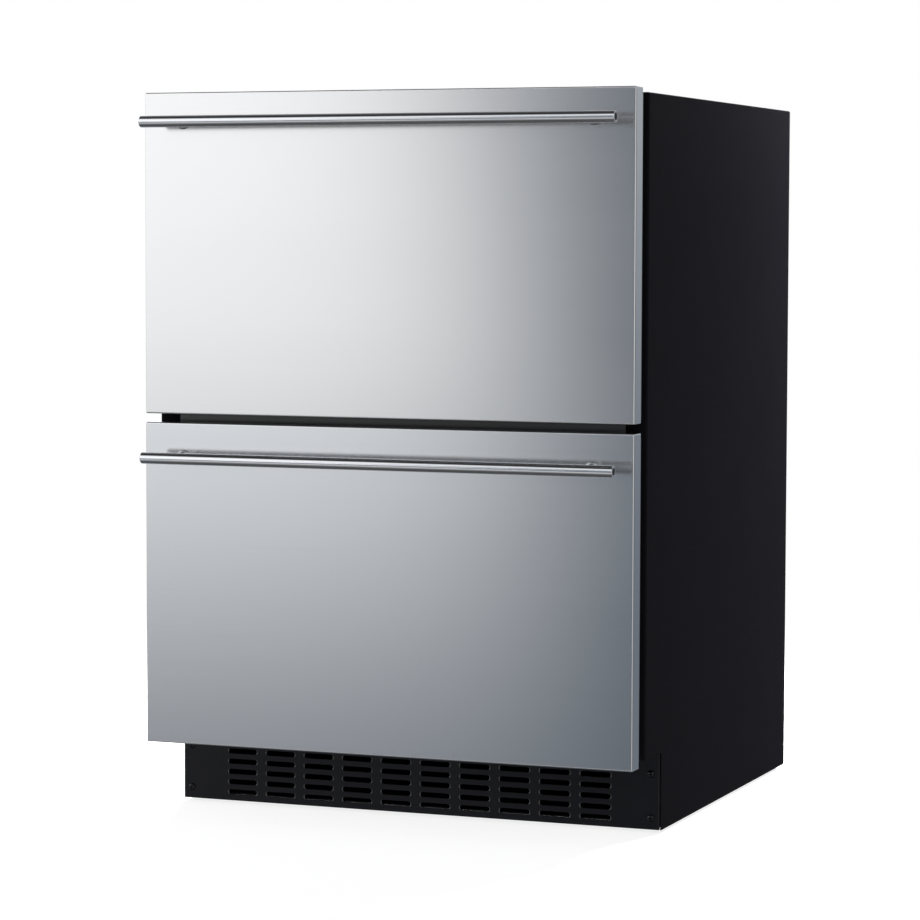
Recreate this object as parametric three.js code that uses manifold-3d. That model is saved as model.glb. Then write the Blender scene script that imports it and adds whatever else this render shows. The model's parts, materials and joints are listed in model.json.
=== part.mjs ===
// Undercounter drawer refrigerator: two refrigerated drawers in a black steel cabinet.
// Millimetres, +X right, +Y back, +Z up. Inside the model group Y = 0 is the face of the drawer
// fronts and Z = 0 is the floor. The group's offset puts the origin at the centre of the base.
import * as THREE from "three";
import { mergeVertices } from "three/addons/utils/BufferGeometryUtils.js";
import Module from "manifold-3d";

const wasm = await Module();
wasm.setup();

// ---- Stock and clearances ----
const GAP = 0.3; // between pieces that touch
const PAST = 1; // a cutting tool reaches this far past what it cuts
const CABINET_SHEET = 1.2; // painted steel
const FRONT_SHEET = 1; // stainless steel
const PAN_SHEET = 1.5; // painted steel of the base pan and the kick plate
const SHEET_CORNER_RADIUS = 0.5; // cut sheets' corners
const LINER_WALL = 2; // moulded plastic

// ---- Cabinet ----
const CABINET_WIDTH = 600;
const CABINET_DEPTH = 578; // flange to back edge
const CABINET_FLANGE = 25; // frame round the opening
const FLOOR_CLEARANCE = 4; // lower edge of the sides above the floor
const TOE_NOTCH_HEIGHT = 89;
const TOE_NOTCH_DEPTH = 61;
const REAR_INSET = 3; // back panel inside the rear edges

// ---- Drawer fronts ----
const FRONT_SIDE_INSET = 1; // narrower than the cabinet, each side
const FRONT_OVERHANG = 7; // lower front below the notch's top
const LOWER_FRONT_HEIGHT = 375;
const UPPER_FRONT_HEIGHT = 371;
const FRONT_GAP = 10;
const TOP_STEP = 5; // upper front above the cabinet
const FRONT_RETURN = 23; // depth of the folded steel edge
const FRONT_EDGE_RADIUS = 1.5;
const PANEL_DEPTH = 34; // face to the back of the inner panel
const GASKET_THICKNESS = 7.4;
const GASKET_WIDTH = 14;
const GASKET_MARGIN = 2; // gasket to the edge of the opening

// ---- Handles ----
const HANDLE_END_INSET = 12; // from the front's side to the bar's end
const HANDLE_DIAMETER = 13.5;
const HANDLE_CHAMFER = 1.6;
const HANDLE_STANDOFF = 35; // face to the bar's centre
const UPPER_HANDLE_DROP = 34.5; // below the top of its front
const LOWER_HANDLE_DROP = 39.5;
const POST_INSET = 37; // bar's end to the post's centre
const POST_DIAMETER = 10;
const POST_BASE_DIAMETER = 16;
const POST_BASE_HEIGHT = 2.5;
const POST_BASE_SLOPE = 1;

// ---- Insulated walls: outside of the cabinet to inside of the liner ----
const SIDE_WALL = 36;
const TOP_WALL = 37;
const FLOOR_WALL = 35;
const BACK_WALL = 55;
const HUMP_FRONT_WALL = 38;
const HUMP_TOP_WALL = 40;
const LINER_FLANGE = 26;

// ---- Machine compartment ----
const MACHINE_DEPTH = 152;
const MACHINE_HEIGHT = 286; // above the sides' lower edge

// ---- Mullion ----
const MULLION_HEIGHT = 56;
const MULLION_DEPTH = 40;

// ---- Bins and slides ----
const BIN_WALL = 3;
const UPPER_BIN_HEAD = 70; // rim to the liner's ceiling
const LOWER_BIN_HEAD = 74; // rim to the mullion
const BIN_CORNER_RADIUS = 14;
const BIN_LIFT = 6; // above the liner floor or the mullion
const UPPER_BIN_REAR_GAP = 24; // to the evaporator cover
const LOWER_BIN_REAR_GAP = 11; // to the hump
const SLIDE_SPACE = 15; // liner wall to bin
const SLIDE_HEIGHT = 45;
const SLIDE_STEEL = 1.5;
const SLIDE_OFFSET = 60; // bin floor to the slide's centre
const SLIDE_START = 60; // face to the slide's front end
const UPPER_SLIDE_REAR_GAP = 18; // to the evaporator cover
const LOWER_SLIDE_REAR_GAP = 20; // to the hump

// ---- Kick plate ----
const KICK_PROUD = 3; // in front of the sides' notch
const KICK_EDGE_GAP = 0.5; // top and bottom
const KICK_LIP = 14;
const SLOT_LENGTH = 36.5;
const SLOT_HEIGHT = 5.6;
const SLOT_COLUMNS = 10;
const SLOT_ROWS = 5;
const SLOT_SIDE_MARGIN = 58.4; // kick plate's end to the first slot
const SLOT_ROW_PITCH = 12.3;
const SLOT_MARGIN = 10.5; // kick plate's bottom to the lowest row's centre
const KICK_SCREW_INSET = 10;
const KICK_SCREW_MARGIN = 13.5; // kick plate's bottom to the lower screw
const KICK_SCREW_PITCH = 50.5;
const SCREW_DIAMETER = 4;
const SCREW_HEAD_DIAMETER = 8.5;
const SCREW_HEAD_HEIGHT = 2.2;
const SCREW_HEAD_FLAT = 5.1; // across the top of the head
const SCREW_LENGTH = 12;

// ---- Base pan and levelling feet ----
const BASE_PAN_Z = 12;
const PAN_FLANGE = 20;
const PAN_TAB_WIDTH = 27;
const PAN_TAB_HEIGHT = 62;
const FOOT_INSET_X = 28;
const FRONT_FOOT_INSET = 48; // pan's front edge to the foot's centre
const REAR_FOOT_INSET = 32;
const FOOT_PAD_DIAMETER = 34;
const FOOT_PAD_HEIGHT = 7;
const FOOT_NUT_DIAMETER = 18;
const FOOT_STUD_DIAMETER = 10;
const FOOT_STUD_LENGTH = 42;
const FOOT_CHAMFER = 1;
const FOOT_PAD_SLOPE = 2;

// ---- Cooling system ----
const COMPRESSOR_DIAMETER = 132;
const COMPRESSOR_HEIGHT = 165;
const COMPRESSOR_SEAM_HEIGHT = 74.3; // bottom of the shell to the weld
const COMPRESSOR_SEAM_WIDTH = 6;
const COMPRESSOR_SEAM_PROUD = 3.3;
const COMPRESSOR_DOME = 49.5; // height of the round top
const COMPRESSOR_DOME_STEPS = 5;
const COMPRESSOR_BASE_DIAMETER = 105.6;
const COMPRESSOR_BASE_SLOPE = 16;
const COMPRESSOR_INSET = 210; // cabinet's right side to its axis
const MOUNT_PLATE_LENGTH = 138;
const MOUNT_PLATE_THICKNESS = 3;
const MOUNT_PLATE_RADIUS = 8;
const MOUNT_FOOT_DIAMETER = 14;
const MOUNT_FOOT_HEIGHT = 14;
const MOUNT_FOOT_INSET = 13; // plate's edges to the centre
const CONDENSER_SIZE = [128, 60, 170]; // across the fins, along them, height
const CONDENSER_INSET = 50; // cabinet's left side to its left face
const EVAPORATOR_SIZE = [380, 32, 170];
const FIN_THICKNESS = 2.4; // fins drawn in bundles
const CONDENSER_FINS = 12;
const EVAPORATOR_FINS = 16;
const FIN_TUBES = 2;
const TUBE_DIAMETER = 8;
const TUBE_RISE = 30;
const TUBE_BEND = 18;
const TUBE_STEPS = 44;
const TUBE_SIDES = 8;
const DRAIN_PAN_DEPTH = 120;
const DRAIN_PAN_HEIGHT = 28;
const DRAIN_PAN_WALL = 2;
const DRAIN_PAN_RADIUS = 8;
const DRAIN_PAN_SPACE = [7, 26]; // to the fan, to the compressor's plate

// ---- Fans ----
const CONDENSER_FAN_DIAMETER = 120;
const EVAPORATOR_FAN_DIAMETER = 84;
const FAN_DEPTH = 18;
const FAN_RIM = 4; // least width of the frame round the bore
const FAN_ARM_WIDTH = 5;
const FAN_ARM_THICKNESS = 2.5;
const FAN_HUB_DIAMETER = 28;
const FAN_MOTOR_DEPTH = 9;
const FAN_SHAFT_DIAMETER = 4;
const FAN_SHAFT_LENGTH = 5;
const FAN_TIP_GAP = 1.5;
const FAN_BLADES = 7;
const FAN_BLADE_THICKNESS = 1.4;
const FAN_BLADE_ROOT = 2; // blade inside the hub
const FAN_BLADE_CHORD = 15;
const FAN_BLADE_PITCH = THREE.MathUtils.degToRad(24);
const CONDENSER_FAN_SPACE = 40; // condenser to the fan
const EVAPORATOR_FAN_DROP = 52; // below the liner's ceiling
const EVAPORATOR_SPACE = 45; // cover's back to the liner's back
const COVER_FOOT = 8; // cover's lower edge above the hump
const COVER_SLOT_WIDTH = 60;
const COVER_SLOT_HEIGHT = 8;
const COVER_SLOTS = 6;
const COVER_SLOT_END = 38.7; // cover's side to the first slot
const COVER_SLOT_MARGIN = 26;

// ---- Controls, lamp, rear cover and inlet ----
const CONTROL_SIZE = [180, 40, 24];
const CONTROL_SETBACK = 16; // behind the cabinet's flange
const BUTTON_DIAMETER = 9;
const BUTTON_LENGTH = 6;
const BUTTON_PROUD = 1.5;
const BUTTON_CHAMFER = 0.8;
const BUTTON_TRAVEL = 1.2;
const BUTTON_PITCH = 22;
const BUTTON_START = 20; // centre line to the first button
const LAMP_SIZE = [300, 18, 6];
const LAMP_SETBACK = 10; // behind the control housing
const VENT_LENGTH = 70;
const VENT_HEIGHT = 6;
const VENT_COLUMNS = 4;
const VENT_ROWS = 6;
const VENT_SIDE_MARGIN = 121; // cover's side to the first vent
const VENT_ROW_PITCH = 16;
const VENT_TOP_MARGIN = 45;
const INLET_WIDTH = 28;
const INLET_HEIGHT = 21;
const INLET_DEPTH = 18;
const INLET_FLANGE = 4;
const INLET_FLANGE_THICKNESS = 2;
const INLET_SOCKET_WALL = 2.5;
const INLET_SOCKET_DEPTH = 14;
const INLET_PIN_WIDTH = 2;
const INLET_PIN_HEIGHT = 4;
const INLET_PIN_PITCH = 7;
const INLET_PIN_RISE = [1, -2, 1]; // from the inlet's centre, the earth pin in the middle
const INLET_PIN_RECESS = 1; // pins' tips inside the socket's mouth
const INLET_INSET = 65; // cabinet's right side to its centre
const INLET_Z = 56;

// ---- Facets ----
const SMALL_ROUND = 10;
const MEDIUM_ROUND = 16;
const LARGE_ROUND = 24;
const CORNER_STEPS = 2;

// ---- Places worked out from the sizes ----
const HALF = CABINET_WIDTH / 2;
const INSIDE_HALF = HALF - CABINET_SHEET - GAP;
const FRONT_HALF = HALF - FRONT_SIDE_INSET;
const OPENING_HALF = HALF - CABINET_FLANGE;
const LINER_HALF = HALF - SIDE_WALL;
const BIN_HALF = LINER_HALF - SLIDE_SPACE;
const KICK_HALF = INSIDE_HALF;
const PANEL_HALF = FRONT_HALF - FRONT_SHEET - GAP;

const GASKET_Y = PANEL_DEPTH + GAP;
const CABINET_Y = GASKET_Y + GASKET_THICKNESS + GAP;
const BACK_Y = CABINET_Y + CABINET_DEPTH;
const REAR_FACE_Y = BACK_Y - REAR_INSET;
const REAR_SHEET_Y = REAR_FACE_Y - CABINET_SHEET;
const REAR_LIMIT_Y = REAR_SHEET_Y - GAP;
const FLANGE_BACK_Y = CABINET_Y + CABINET_SHEET;
const LINER_Y = FLANGE_BACK_Y + GAP;
const FOAM_Y = LINER_Y + LINER_WALL + GAP;
const LINER_BACK_Y = BACK_Y - BACK_WALL;
const MACHINE_Y = BACK_Y - MACHINE_DEPTH;
const HUMP_Y = MACHINE_Y - HUMP_FRONT_WALL;
const NOTCH_Y = CABINET_Y + TOE_NOTCH_DEPTH;
const KICK_Y = NOTCH_Y - KICK_PROUD;
const PAN_Y = KICK_Y + PAN_SHEET + GAP;
const COVER_Y = LINER_BACK_Y - EVAPORATOR_SPACE - LINER_WALL;
const MACHINE_CENTRE_Y = (MACHINE_Y + REAR_SHEET_Y) / 2;

const NOTCH_Z = FLOOR_CLEARANCE + TOE_NOTCH_HEIGHT;
const LOWER_FRONT_Z = NOTCH_Z - FRONT_OVERHANG;
const LOWER_FRONT_TOP_Z = LOWER_FRONT_Z + LOWER_FRONT_HEIGHT;
const UPPER_FRONT_Z = LOWER_FRONT_TOP_Z + FRONT_GAP;
const UPPER_FRONT_TOP_Z = UPPER_FRONT_Z + UPPER_FRONT_HEIGHT;
const CABINET_TOP_Z = UPPER_FRONT_TOP_Z - TOP_STEP;
const OPENING_BOTTOM_Z = NOTCH_Z + CABINET_FLANGE;
const OPENING_TOP_Z = CABINET_TOP_Z - CABINET_FLANGE;
const MULLION_Z = LOWER_FRONT_TOP_Z + FRONT_GAP / 2 - MULLION_HEIGHT / 2;
const MULLION_TOP_Z = MULLION_Z + MULLION_HEIGHT;
const LINER_FLOOR_Z = NOTCH_Z + FLOOR_WALL;
const LINER_TOP_Z = CABINET_TOP_Z - TOP_WALL;
const MACHINE_TOP_Z = FLOOR_CLEARANCE + MACHINE_HEIGHT;
const HUMP_Z = MACHINE_TOP_Z + HUMP_TOP_WALL;
const KICK_Z = FLOOR_CLEARANCE + KICK_EDGE_GAP;
const KICK_TOP_Z = NOTCH_Z - KICK_EDGE_GAP;
const PAN_TOP_Z = BASE_PAN_Z + PAN_SHEET;
const MACHINE_FLOOR_Z = PAN_TOP_Z + GAP;
const SCREW_X = KICK_HALF - KICK_SCREW_INSET;
const SCREW_Z = [0, 1].map((row) => KICK_Z + KICK_SCREW_MARGIN + row * KICK_SCREW_PITCH);
const SCREW_HOLE_DIAMETER = SCREW_DIAMETER + 2 * GAP;
const FOOT_X = HALF - FOOT_INSET_X;
const FOOT_Y = [PAN_Y + FRONT_FOOT_INSET, REAR_LIMIT_Y - REAR_FOOT_INSET];
const LOWER_BIN_Z = LINER_FLOOR_Z + BIN_LIFT;
const UPPER_BIN_Z = MULLION_TOP_Z + BIN_LIFT;
const UPPER_BIN_DEPTH = COVER_Y - UPPER_BIN_REAR_GAP - GASKET_Y;
const LOWER_BIN_DEPTH = HUMP_Y - LOWER_BIN_REAR_GAP - GASKET_Y;
const UPPER_BIN_HEIGHT = LINER_TOP_Z - UPPER_BIN_HEAD - UPPER_BIN_Z;
const LOWER_BIN_HEIGHT = MULLION_Z - LOWER_BIN_HEAD - LOWER_BIN_Z;
const UPPER_SLIDE_LENGTH = COVER_Y - UPPER_SLIDE_REAR_GAP - SLIDE_START;
const LOWER_SLIDE_LENGTH = HUMP_Y - LOWER_SLIDE_REAR_GAP - SLIDE_START;
const HANDLE_HALF = FRONT_HALF - HANDLE_END_INSET;
const COMPRESSOR_X = HALF - COMPRESSOR_INSET;
const CONDENSER_X = CONDENSER_INSET - HALF + CONDENSER_SIZE[1] / 2;
const CONDENSER_FAN_X = CONDENSER_INSET - HALF + CONDENSER_SIZE[1] + CONDENSER_FAN_SPACE;
const INLET_X = HALF - INLET_INSET;
const CONTROL_Y = CABINET_Y + CONTROL_SETBACK;
const CONTROL_Z = LINER_TOP_Z - GAP - CONTROL_SIZE[2];
const EVAPORATOR_FAN_Z = LINER_TOP_Z - EVAPORATOR_FAN_DROP;

// ---- Shapes ----
function box([x0, x1], [y0, y1], [z0, z1]) {
  const shape = new THREE.BoxGeometry(x1 - x0, y1 - y0, z1 - z0);
  return shape.translate((x0 + x1) / 2, (y0 + y1) / 2, (z0 + z1) / 2);
}

const span = (half) => [-half, half];
const from = (start, length) => [start, start + length];
const about = (centre, length) => [centre - length / 2, centre + length / 2];

// A cylinder along Z, from z = start.
function rod(diameter, start, length, sides = SMALL_ROUND) {
  const shape = new THREE.CylinderGeometry(diameter / 2, diameter / 2, length, sides);
  return shape.rotateX(Math.PI / 2).translate(0, 0, start + length / 2);
}

// Places of equal slots that fill a length 2 * half, up to a margin at each end.
function spread(count, half, margin, length) {
  const reach = half - margin - length / 2;
  return Array.from({ length: count }, (_, n) => -reach + (2 * reach * n) / (count - 1));
}

// A solid of revolution about Z, from [radius, z] points that start and end on the axis.
function turned(points, sides) {
  const profile = points.map(([radius, z]) => new THREE.Vector2(radius, z));
  return new THREE.LatheGeometry(profile, sides).rotateX(Math.PI / 2);
}

function outline(points) {
  return new THREE.Shape(points.map(([a, b]) => new THREE.Vector2(a, b)));
}

function extruded(shape, depth, curveSegments = CORNER_STEPS) {
  return new THREE.ExtrudeGeometry(shape, { depth, bevelEnabled: false, curveSegments });
}

// Extrudes an outline of [y, z] points along X, centred on the middle.
function alongX(shape, half) {
  const toX = new THREE.Matrix4().makeBasis(
    new THREE.Vector3(0, 1, 0), new THREE.Vector3(0, 0, 1), new THREE.Vector3(1, 0, 0));
  return extruded(shape, 2 * half).applyMatrix4(toX).translate(-half, 0, 0);
}

// Extrudes a shape drawn in X and Z along Y, from y = start to start + depth.
function alongY(shape, start, depth) {
  return extruded(shape, depth).rotateX(Math.PI / 2).translate(0, start + depth, 0);
}

function rectangle(width, height, radius) {
  const [x, y] = [width / 2, height / 2];
  const shape = new THREE.Shape();
  shape.moveTo(-x + radius, -y);
  shape.lineTo(x - radius, -y);
  shape.absarc(x - radius, -y + radius, radius, -Math.PI / 2, 0);
  shape.lineTo(x, y - radius);
  shape.absarc(x - radius, y - radius, radius, 0, Math.PI / 2);
  shape.lineTo(-x + radius, y);
  shape.absarc(-x + radius, y - radius, radius, Math.PI / 2, Math.PI);
  shape.lineTo(-x, -y + radius);
  shape.absarc(-x + radius, -y + radius, radius, Math.PI, 1.5 * Math.PI);
  return shape;
}

function slotPath(x, y, length, height) {
  const radius = height / 2;
  const straight = length / 2 - radius;
  const path = new THREE.Path();
  path.moveTo(x - straight, y - radius);
  path.lineTo(x + straight, y - radius);
  path.absarc(x + straight, y, radius, -Math.PI / 2, Math.PI / 2);
  path.lineTo(x - straight, y + radius);
  path.absarc(x - straight, y, radius, Math.PI / 2, 1.5 * Math.PI);
  return path;
}

function circlePath(x, y, diameter, sides = SMALL_ROUND) {
  const points = [];
  for (let n = 0; n < sides; n += 1) {
    const angle = (2 * Math.PI * n) / sides;
    points.push(new THREE.Vector2(x + diameter / 2 * Math.cos(angle), y + diameter / 2 * Math.sin(angle)));
  }
  return new THREE.Path(points);
}

// ---- Joining and cutting ----
function solid(geometry) {
  const shape = geometry.clone();
  shape.deleteAttribute("normal");
  shape.deleteAttribute("uv");
  const merged = mergeVertices(shape, 1e-4);
  return new wasm.Manifold(new wasm.Mesh({
    numProp: 3,
    vertProperties: new Float32Array(merged.attributes.position.array),
    triVerts: new Uint32Array(merged.index.array),
  }));
}

function geometryOf(body) {
  const mesh = body.getMesh();
  const geometry = new THREE.BufferGeometry();
  geometry.setAttribute("position", new THREE.BufferAttribute(mesh.vertProperties, 3));
  geometry.setIndex(new THREE.BufferAttribute(mesh.triVerts, 1));
  geometry.computeVertexNormals();
  return geometry;
}

const join = (...parts) => geometryOf(parts.map(solid).reduce((all, part) => all.add(part)));
const cut = (body, ...tools) =>
  geometryOf(tools.map(solid).reduce((rest, tool) => rest.subtract(tool), solid(body)));

// ---- Materials ----
const finish = (color, roughness, metalness) =>
  new THREE.MeshStandardMaterial({ color, roughness, metalness });
const STAINLESS = finish(0xb4b8bc, 0.34, 1);
const HANDLE_STEEL = finish(0xc4c8cc, 0.2, 1);
const BLACK_PAINT = finish(0x1b1b1e, 0.55, 0.1);
const BLACK_PLASTIC = finish(0x0e0e10, 0.6, 0);
const GALVANISED = finish(0x8f9498, 0.45, 0.8);
const SLIDE_ZINC = finish(0x9ba0a4, 0.35, 0.9);
const RUBBER = finish(0x141414, 0.85, 0);
const WHITE_PLASTIC = finish(0xe4e6e8, 0.4, 0);
const BIN_PLASTIC = finish(0xd8dcdf, 0.3, 0);
const FOAM = finish(0xd9c9a0, 0.95, 0);
const MULLION_GREY = finish(0x47474a, 0.5, 0);
const COMPRESSOR_BLACK = finish(0x111214, 0.4, 0.3);
const COPPER = finish(0xb5704a, 0.3, 1);
const FIN_ALUMINIUM = finish(0xb9bdc1, 0.4, 1);
const LAMP_LENS = finish(0xf4f6f8, 0.3, 0);
const SCREW_STEEL = finish(0x202124, 0.3, 0.8);

// ---- Cabinet pieces ----
function outerCabinet() {
  const side = outline([
    [CABINET_Y, NOTCH_Z], [NOTCH_Y, NOTCH_Z], [NOTCH_Y, FLOOR_CLEARANCE], [BACK_Y, FLOOR_CLEARANCE],
    [BACK_Y, CABINET_TOP_Z], [CABINET_Y, CABINET_TOP_Z]]);
  const shell = cut(alongX(side, HALF), box(
    span(HALF - CABINET_SHEET), [CABINET_Y - PAST, BACK_Y + PAST],
    [-PAST, CABINET_TOP_Z - CABINET_SHEET]));
  const frameHeight = CABINET_TOP_Z - NOTCH_Z;
  const frame = cut(
    box(span(HALF), from(CABINET_Y, CABINET_SHEET), from(NOTCH_Z, frameHeight)),
    box(span(OPENING_HALF), [CABINET_Y - PAST, FLANGE_BACK_Y + PAST], [NOTCH_Z - PAST, OPENING_TOP_Z]));
  return join(shell, frame);
}

const rearSheet = (bottom, top) =>
  box(span(INSIDE_HALF), [REAR_SHEET_Y, REAR_FACE_Y], [bottom, top]);

function backPanel() {
  return rearSheet(MACHINE_TOP_Z, CABINET_TOP_Z - CABINET_SHEET - GAP);
}

// Sheet steel between the insulation and the space for the machinery.
function machinePartition() {
  const t = CABINET_SHEET;
  const profile = outline([
    [LINER_Y, NOTCH_Z], [MACHINE_Y, NOTCH_Z], [MACHINE_Y, MACHINE_TOP_Z],
    [REAR_LIMIT_Y, MACHINE_TOP_Z], [REAR_LIMIT_Y, MACHINE_TOP_Z + t],
    [MACHINE_Y - t, MACHINE_TOP_Z + t], [MACHINE_Y - t, NOTCH_Z + t], [LINER_Y, NOTCH_Z + t]]);
  const rail = box(span(OPENING_HALF - GAP), [CABINET_Y, FLANGE_BACK_Y], [NOTCH_Z, OPENING_BOTTOM_Z]);
  const fold = box(span(OPENING_HALF - GAP), [CABINET_Y, LINER_Y + t], from(NOTCH_Z, t));
  return join(alongX(profile, INSIDE_HALF), rail, fold);
}

// The liner's inside in [y, z], grown outwards by a margin.
function linerProfile(margin, front, back = LINER_BACK_Y + margin) {
  return outline([
    [front, LINER_FLOOR_Z - margin], [HUMP_Y + margin, LINER_FLOOR_Z - margin],
    [HUMP_Y + margin, HUMP_Z - margin], [back, HUMP_Z - margin],
    [back, LINER_TOP_Z + margin], [front, LINER_TOP_Z + margin]]);
}

function innerLiner() {
  const shell = alongX(linerProfile(LINER_WALL, LINER_Y), LINER_HALF + LINER_WALL);
  const flange = box(span(LINER_HALF + LINER_FLANGE), from(LINER_Y, LINER_WALL),
    [LINER_FLOOR_Z - LINER_FLANGE, LINER_TOP_Z + LINER_FLANGE]);
  return cut(join(shell, flange), alongX(linerProfile(0, LINER_Y - PAST), LINER_HALF));
}

function insulation() {
  const t = CABINET_SHEET + GAP;
  const top = CABINET_TOP_Z - t;
  const block = outline([
    [FOAM_Y, NOTCH_Z + t], [MACHINE_Y - t, NOTCH_Z + t], [MACHINE_Y - t, MACHINE_TOP_Z + t],
    [REAR_LIMIT_Y, MACHINE_TOP_Z + t], [REAR_LIMIT_Y, top], [FOAM_Y, top]]);
  const margin = LINER_WALL + GAP;
  const hollow = alongX(linerProfile(margin, FOAM_Y - PAST), LINER_HALF + margin);
  return cut(alongX(block, INSIDE_HALF), hollow);
}

function centreMullion() {
  const face = box(span(OPENING_HALF - GAP), [CABINET_Y, FLANGE_BACK_Y], [MULLION_Z, MULLION_TOP_Z]);
  const bar = box(span(LINER_HALF - GAP), [CABINET_Y, CABINET_Y + MULLION_DEPTH],
    [MULLION_Z, MULLION_TOP_Z]);
  return join(face, bar);
}

// ---- Toe space ----
function kickPlate() {
  const height = KICK_TOP_Z - KICK_Z;
  const plate = rectangle(2 * KICK_HALF, height, SHEET_CORNER_RADIUS);
  for (let row = 0; row < SLOT_ROWS; row += 1) {
    for (const x of spread(SLOT_COLUMNS, KICK_HALF, SLOT_SIDE_MARGIN, SLOT_LENGTH)) {
      const z = SLOT_MARGIN + row * SLOT_ROW_PITCH - height / 2;
      plate.holes.push(slotPath(x, z, SLOT_LENGTH, SLOT_HEIGHT));
    }
  }
  for (const x of [-SCREW_X, SCREW_X]) {
    for (const z of SCREW_Z) {
      plate.holes.push(circlePath(x, z - (KICK_Z + KICK_TOP_Z) / 2, SCREW_HOLE_DIAMETER));
    }
  }
  const face = alongY(plate, KICK_Y, PAN_SHEET).translate(0, 0, (KICK_Z + KICK_TOP_Z) / 2);
  const lip = box(span(KICK_HALF), [KICK_Y, KICK_Y + KICK_LIP], [KICK_TOP_Z - PAN_SHEET, KICK_TOP_Z]);
  return join(face, lip);
}

function kickScrew() {
  const r = SCREW_HEAD_DIAMETER / 2;
  const head = turned([[0, -SCREW_HEAD_HEIGHT], [SCREW_HEAD_FLAT / 2, -SCREW_HEAD_HEIGHT],
    [r, -SCREW_HEAD_HEIGHT / 2], [r, 0], [0, 0]], SMALL_ROUND);
  return join(head, rod(SCREW_DIAMETER, -SCREW_HEAD_HEIGHT / 2, SCREW_LENGTH + SCREW_HEAD_HEIGHT / 2));
}

function basePan() {
  const half = INSIDE_HALF;
  const inner = half - PAN_SHEET;
  const top = BASE_PAN_Z + PAN_FLANGE;
  const start = PAN_Y + PAN_SHEET / 2;
  const tray = alongY(outline([[-half, BASE_PAN_Z], [half, BASE_PAN_Z], [half, top], [inner, top],
    [inner, PAN_TOP_Z], [-inner, PAN_TOP_Z], [-inner, top], [-half, top]]), start, REAR_LIMIT_Y - start);
  const tabs = [-1, 1].map((side) => box(about(side * (half - PAN_TAB_WIDTH / 2), PAN_TAB_WIDTH),
    from(PAN_Y, PAN_SHEET), from(BASE_PAN_Z, PAN_TAB_HEIGHT)));
  const holes = [];
  for (const x of [-1, 1]) {
    for (const y of FOOT_Y) {
      const hole = rod(FOOT_STUD_DIAMETER + 2 * GAP, BASE_PAN_Z - PAST, PAN_SHEET + 2 * PAST);
      holes.push(hole.translate(x * FOOT_X, y, 0));
    }
    for (const z of SCREW_Z) {
      const hole = rod(SCREW_HOLE_DIAMETER, 0, PAN_SHEET + 2 * PAST).rotateX(-Math.PI / 2);
      holes.push(hole.translate(x * SCREW_X, PAN_Y - PAST, z));
    }
  }
  return cut(join(tray, ...tabs), ...holes);
}

// A foot at its highest setting: pad on the floor, nut under the base pan, stud through it.
function levellingFoot() {
  const pad = FOOT_PAD_DIAMETER / 2;
  const nut = FOOT_NUT_DIAMETER / 2;
  const stud = FOOT_STUD_DIAMETER / 2;
  const seat = BASE_PAN_Z - GAP;
  const top = seat + FOOT_STUD_LENGTH;
  const c = FOOT_CHAMFER;
  return turned([[0, 0], [pad - c, 0], [pad, c], [pad, FOOT_PAD_HEIGHT - FOOT_PAD_SLOPE],
    [nut, FOOT_PAD_HEIGHT], [nut, seat], [stud, seat], [stud, top - c], [stud - c, top], [0, top]],
    MEDIUM_ROUND);
}

// ---- Drawers ----
// Drawn with the front's face on Y = 0 and its lower edge on Z = 0.
function frontSkin(height) {
  const r = FRONT_EDGE_RADIUS;
  const plate = rectangle(2 * (FRONT_HALF - r), height - 2 * r, r);
  const block = new THREE.ExtrudeGeometry(plate, {
    depth: FRONT_RETURN, bevelThickness: r, bevelSize: r, bevelSegments: 2, curveSegments: 2 });
  const outside = block.rotateX(Math.PI / 2).translate(0, FRONT_RETURN + r, height / 2);
  const inside = box(span(FRONT_HALF - FRONT_SHEET), [FRONT_SHEET, 2 * FRONT_RETURN],
    [FRONT_SHEET, height - FRONT_SHEET]);
  const behind = box(span(HALF), [FRONT_RETURN, 2 * FRONT_RETURN], [-PAST, height + PAST]);
  return cut(outside, inside, behind);
}

function innerPanel(height) {
  const edge = FRONT_SHEET + GAP;
  return box(span(PANEL_HALF), [edge, PANEL_DEPTH], [edge, height - edge]);
}

// A ring round an opening whose edges are at the given heights.
function gasket(bottom, top) {
  const inner = GASKET_MARGIN;
  const outer = GASKET_MARGIN + GASKET_WIDTH;
  return cut(
    box(span(OPENING_HALF + outer), from(GASKET_Y, GASKET_THICKNESS), [bottom - outer, top + outer]),
    box(span(OPENING_HALF + inner), from(GASKET_Y - PAST, GASKET_THICKNESS + 2 * PAST),
      [bottom - inner, top + inner]));
}

function handleBar() {
  const r = HANDLE_DIAMETER / 2;
  const end = HANDLE_HALF;
  const bar = turned([[0, -end], [r - HANDLE_CHAMFER, -end], [r, -end + HANDLE_CHAMFER],
    [r, end - HANDLE_CHAMFER], [r - HANDLE_CHAMFER, end], [0, end]], MEDIUM_ROUND);
  return bar.rotateY(Math.PI / 2).translate(0, -HANDLE_STANDOFF, 0);
}

function handlePost() {
  const foot = POST_BASE_DIAMETER / 2;
  const neck = POST_DIAMETER / 2;
  const post = turned([[0, GAP], [foot, GAP], [foot, POST_BASE_HEIGHT],
    [neck, POST_BASE_HEIGHT + POST_BASE_SLOPE],
    [neck, HANDLE_STANDOFF], [0, HANDLE_STANDOFF]], MEDIUM_ROUND);
  const seat = rod(HANDLE_DIAMETER + 2 * GAP, -HANDLE_DIAMETER, 2 * HANDLE_DIAMETER, MEDIUM_ROUND);
  return cut(post.rotateX(Math.PI / 2), seat.rotateY(Math.PI / 2).translate(0, -HANDLE_STANDOFF, 0));
}

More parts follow.
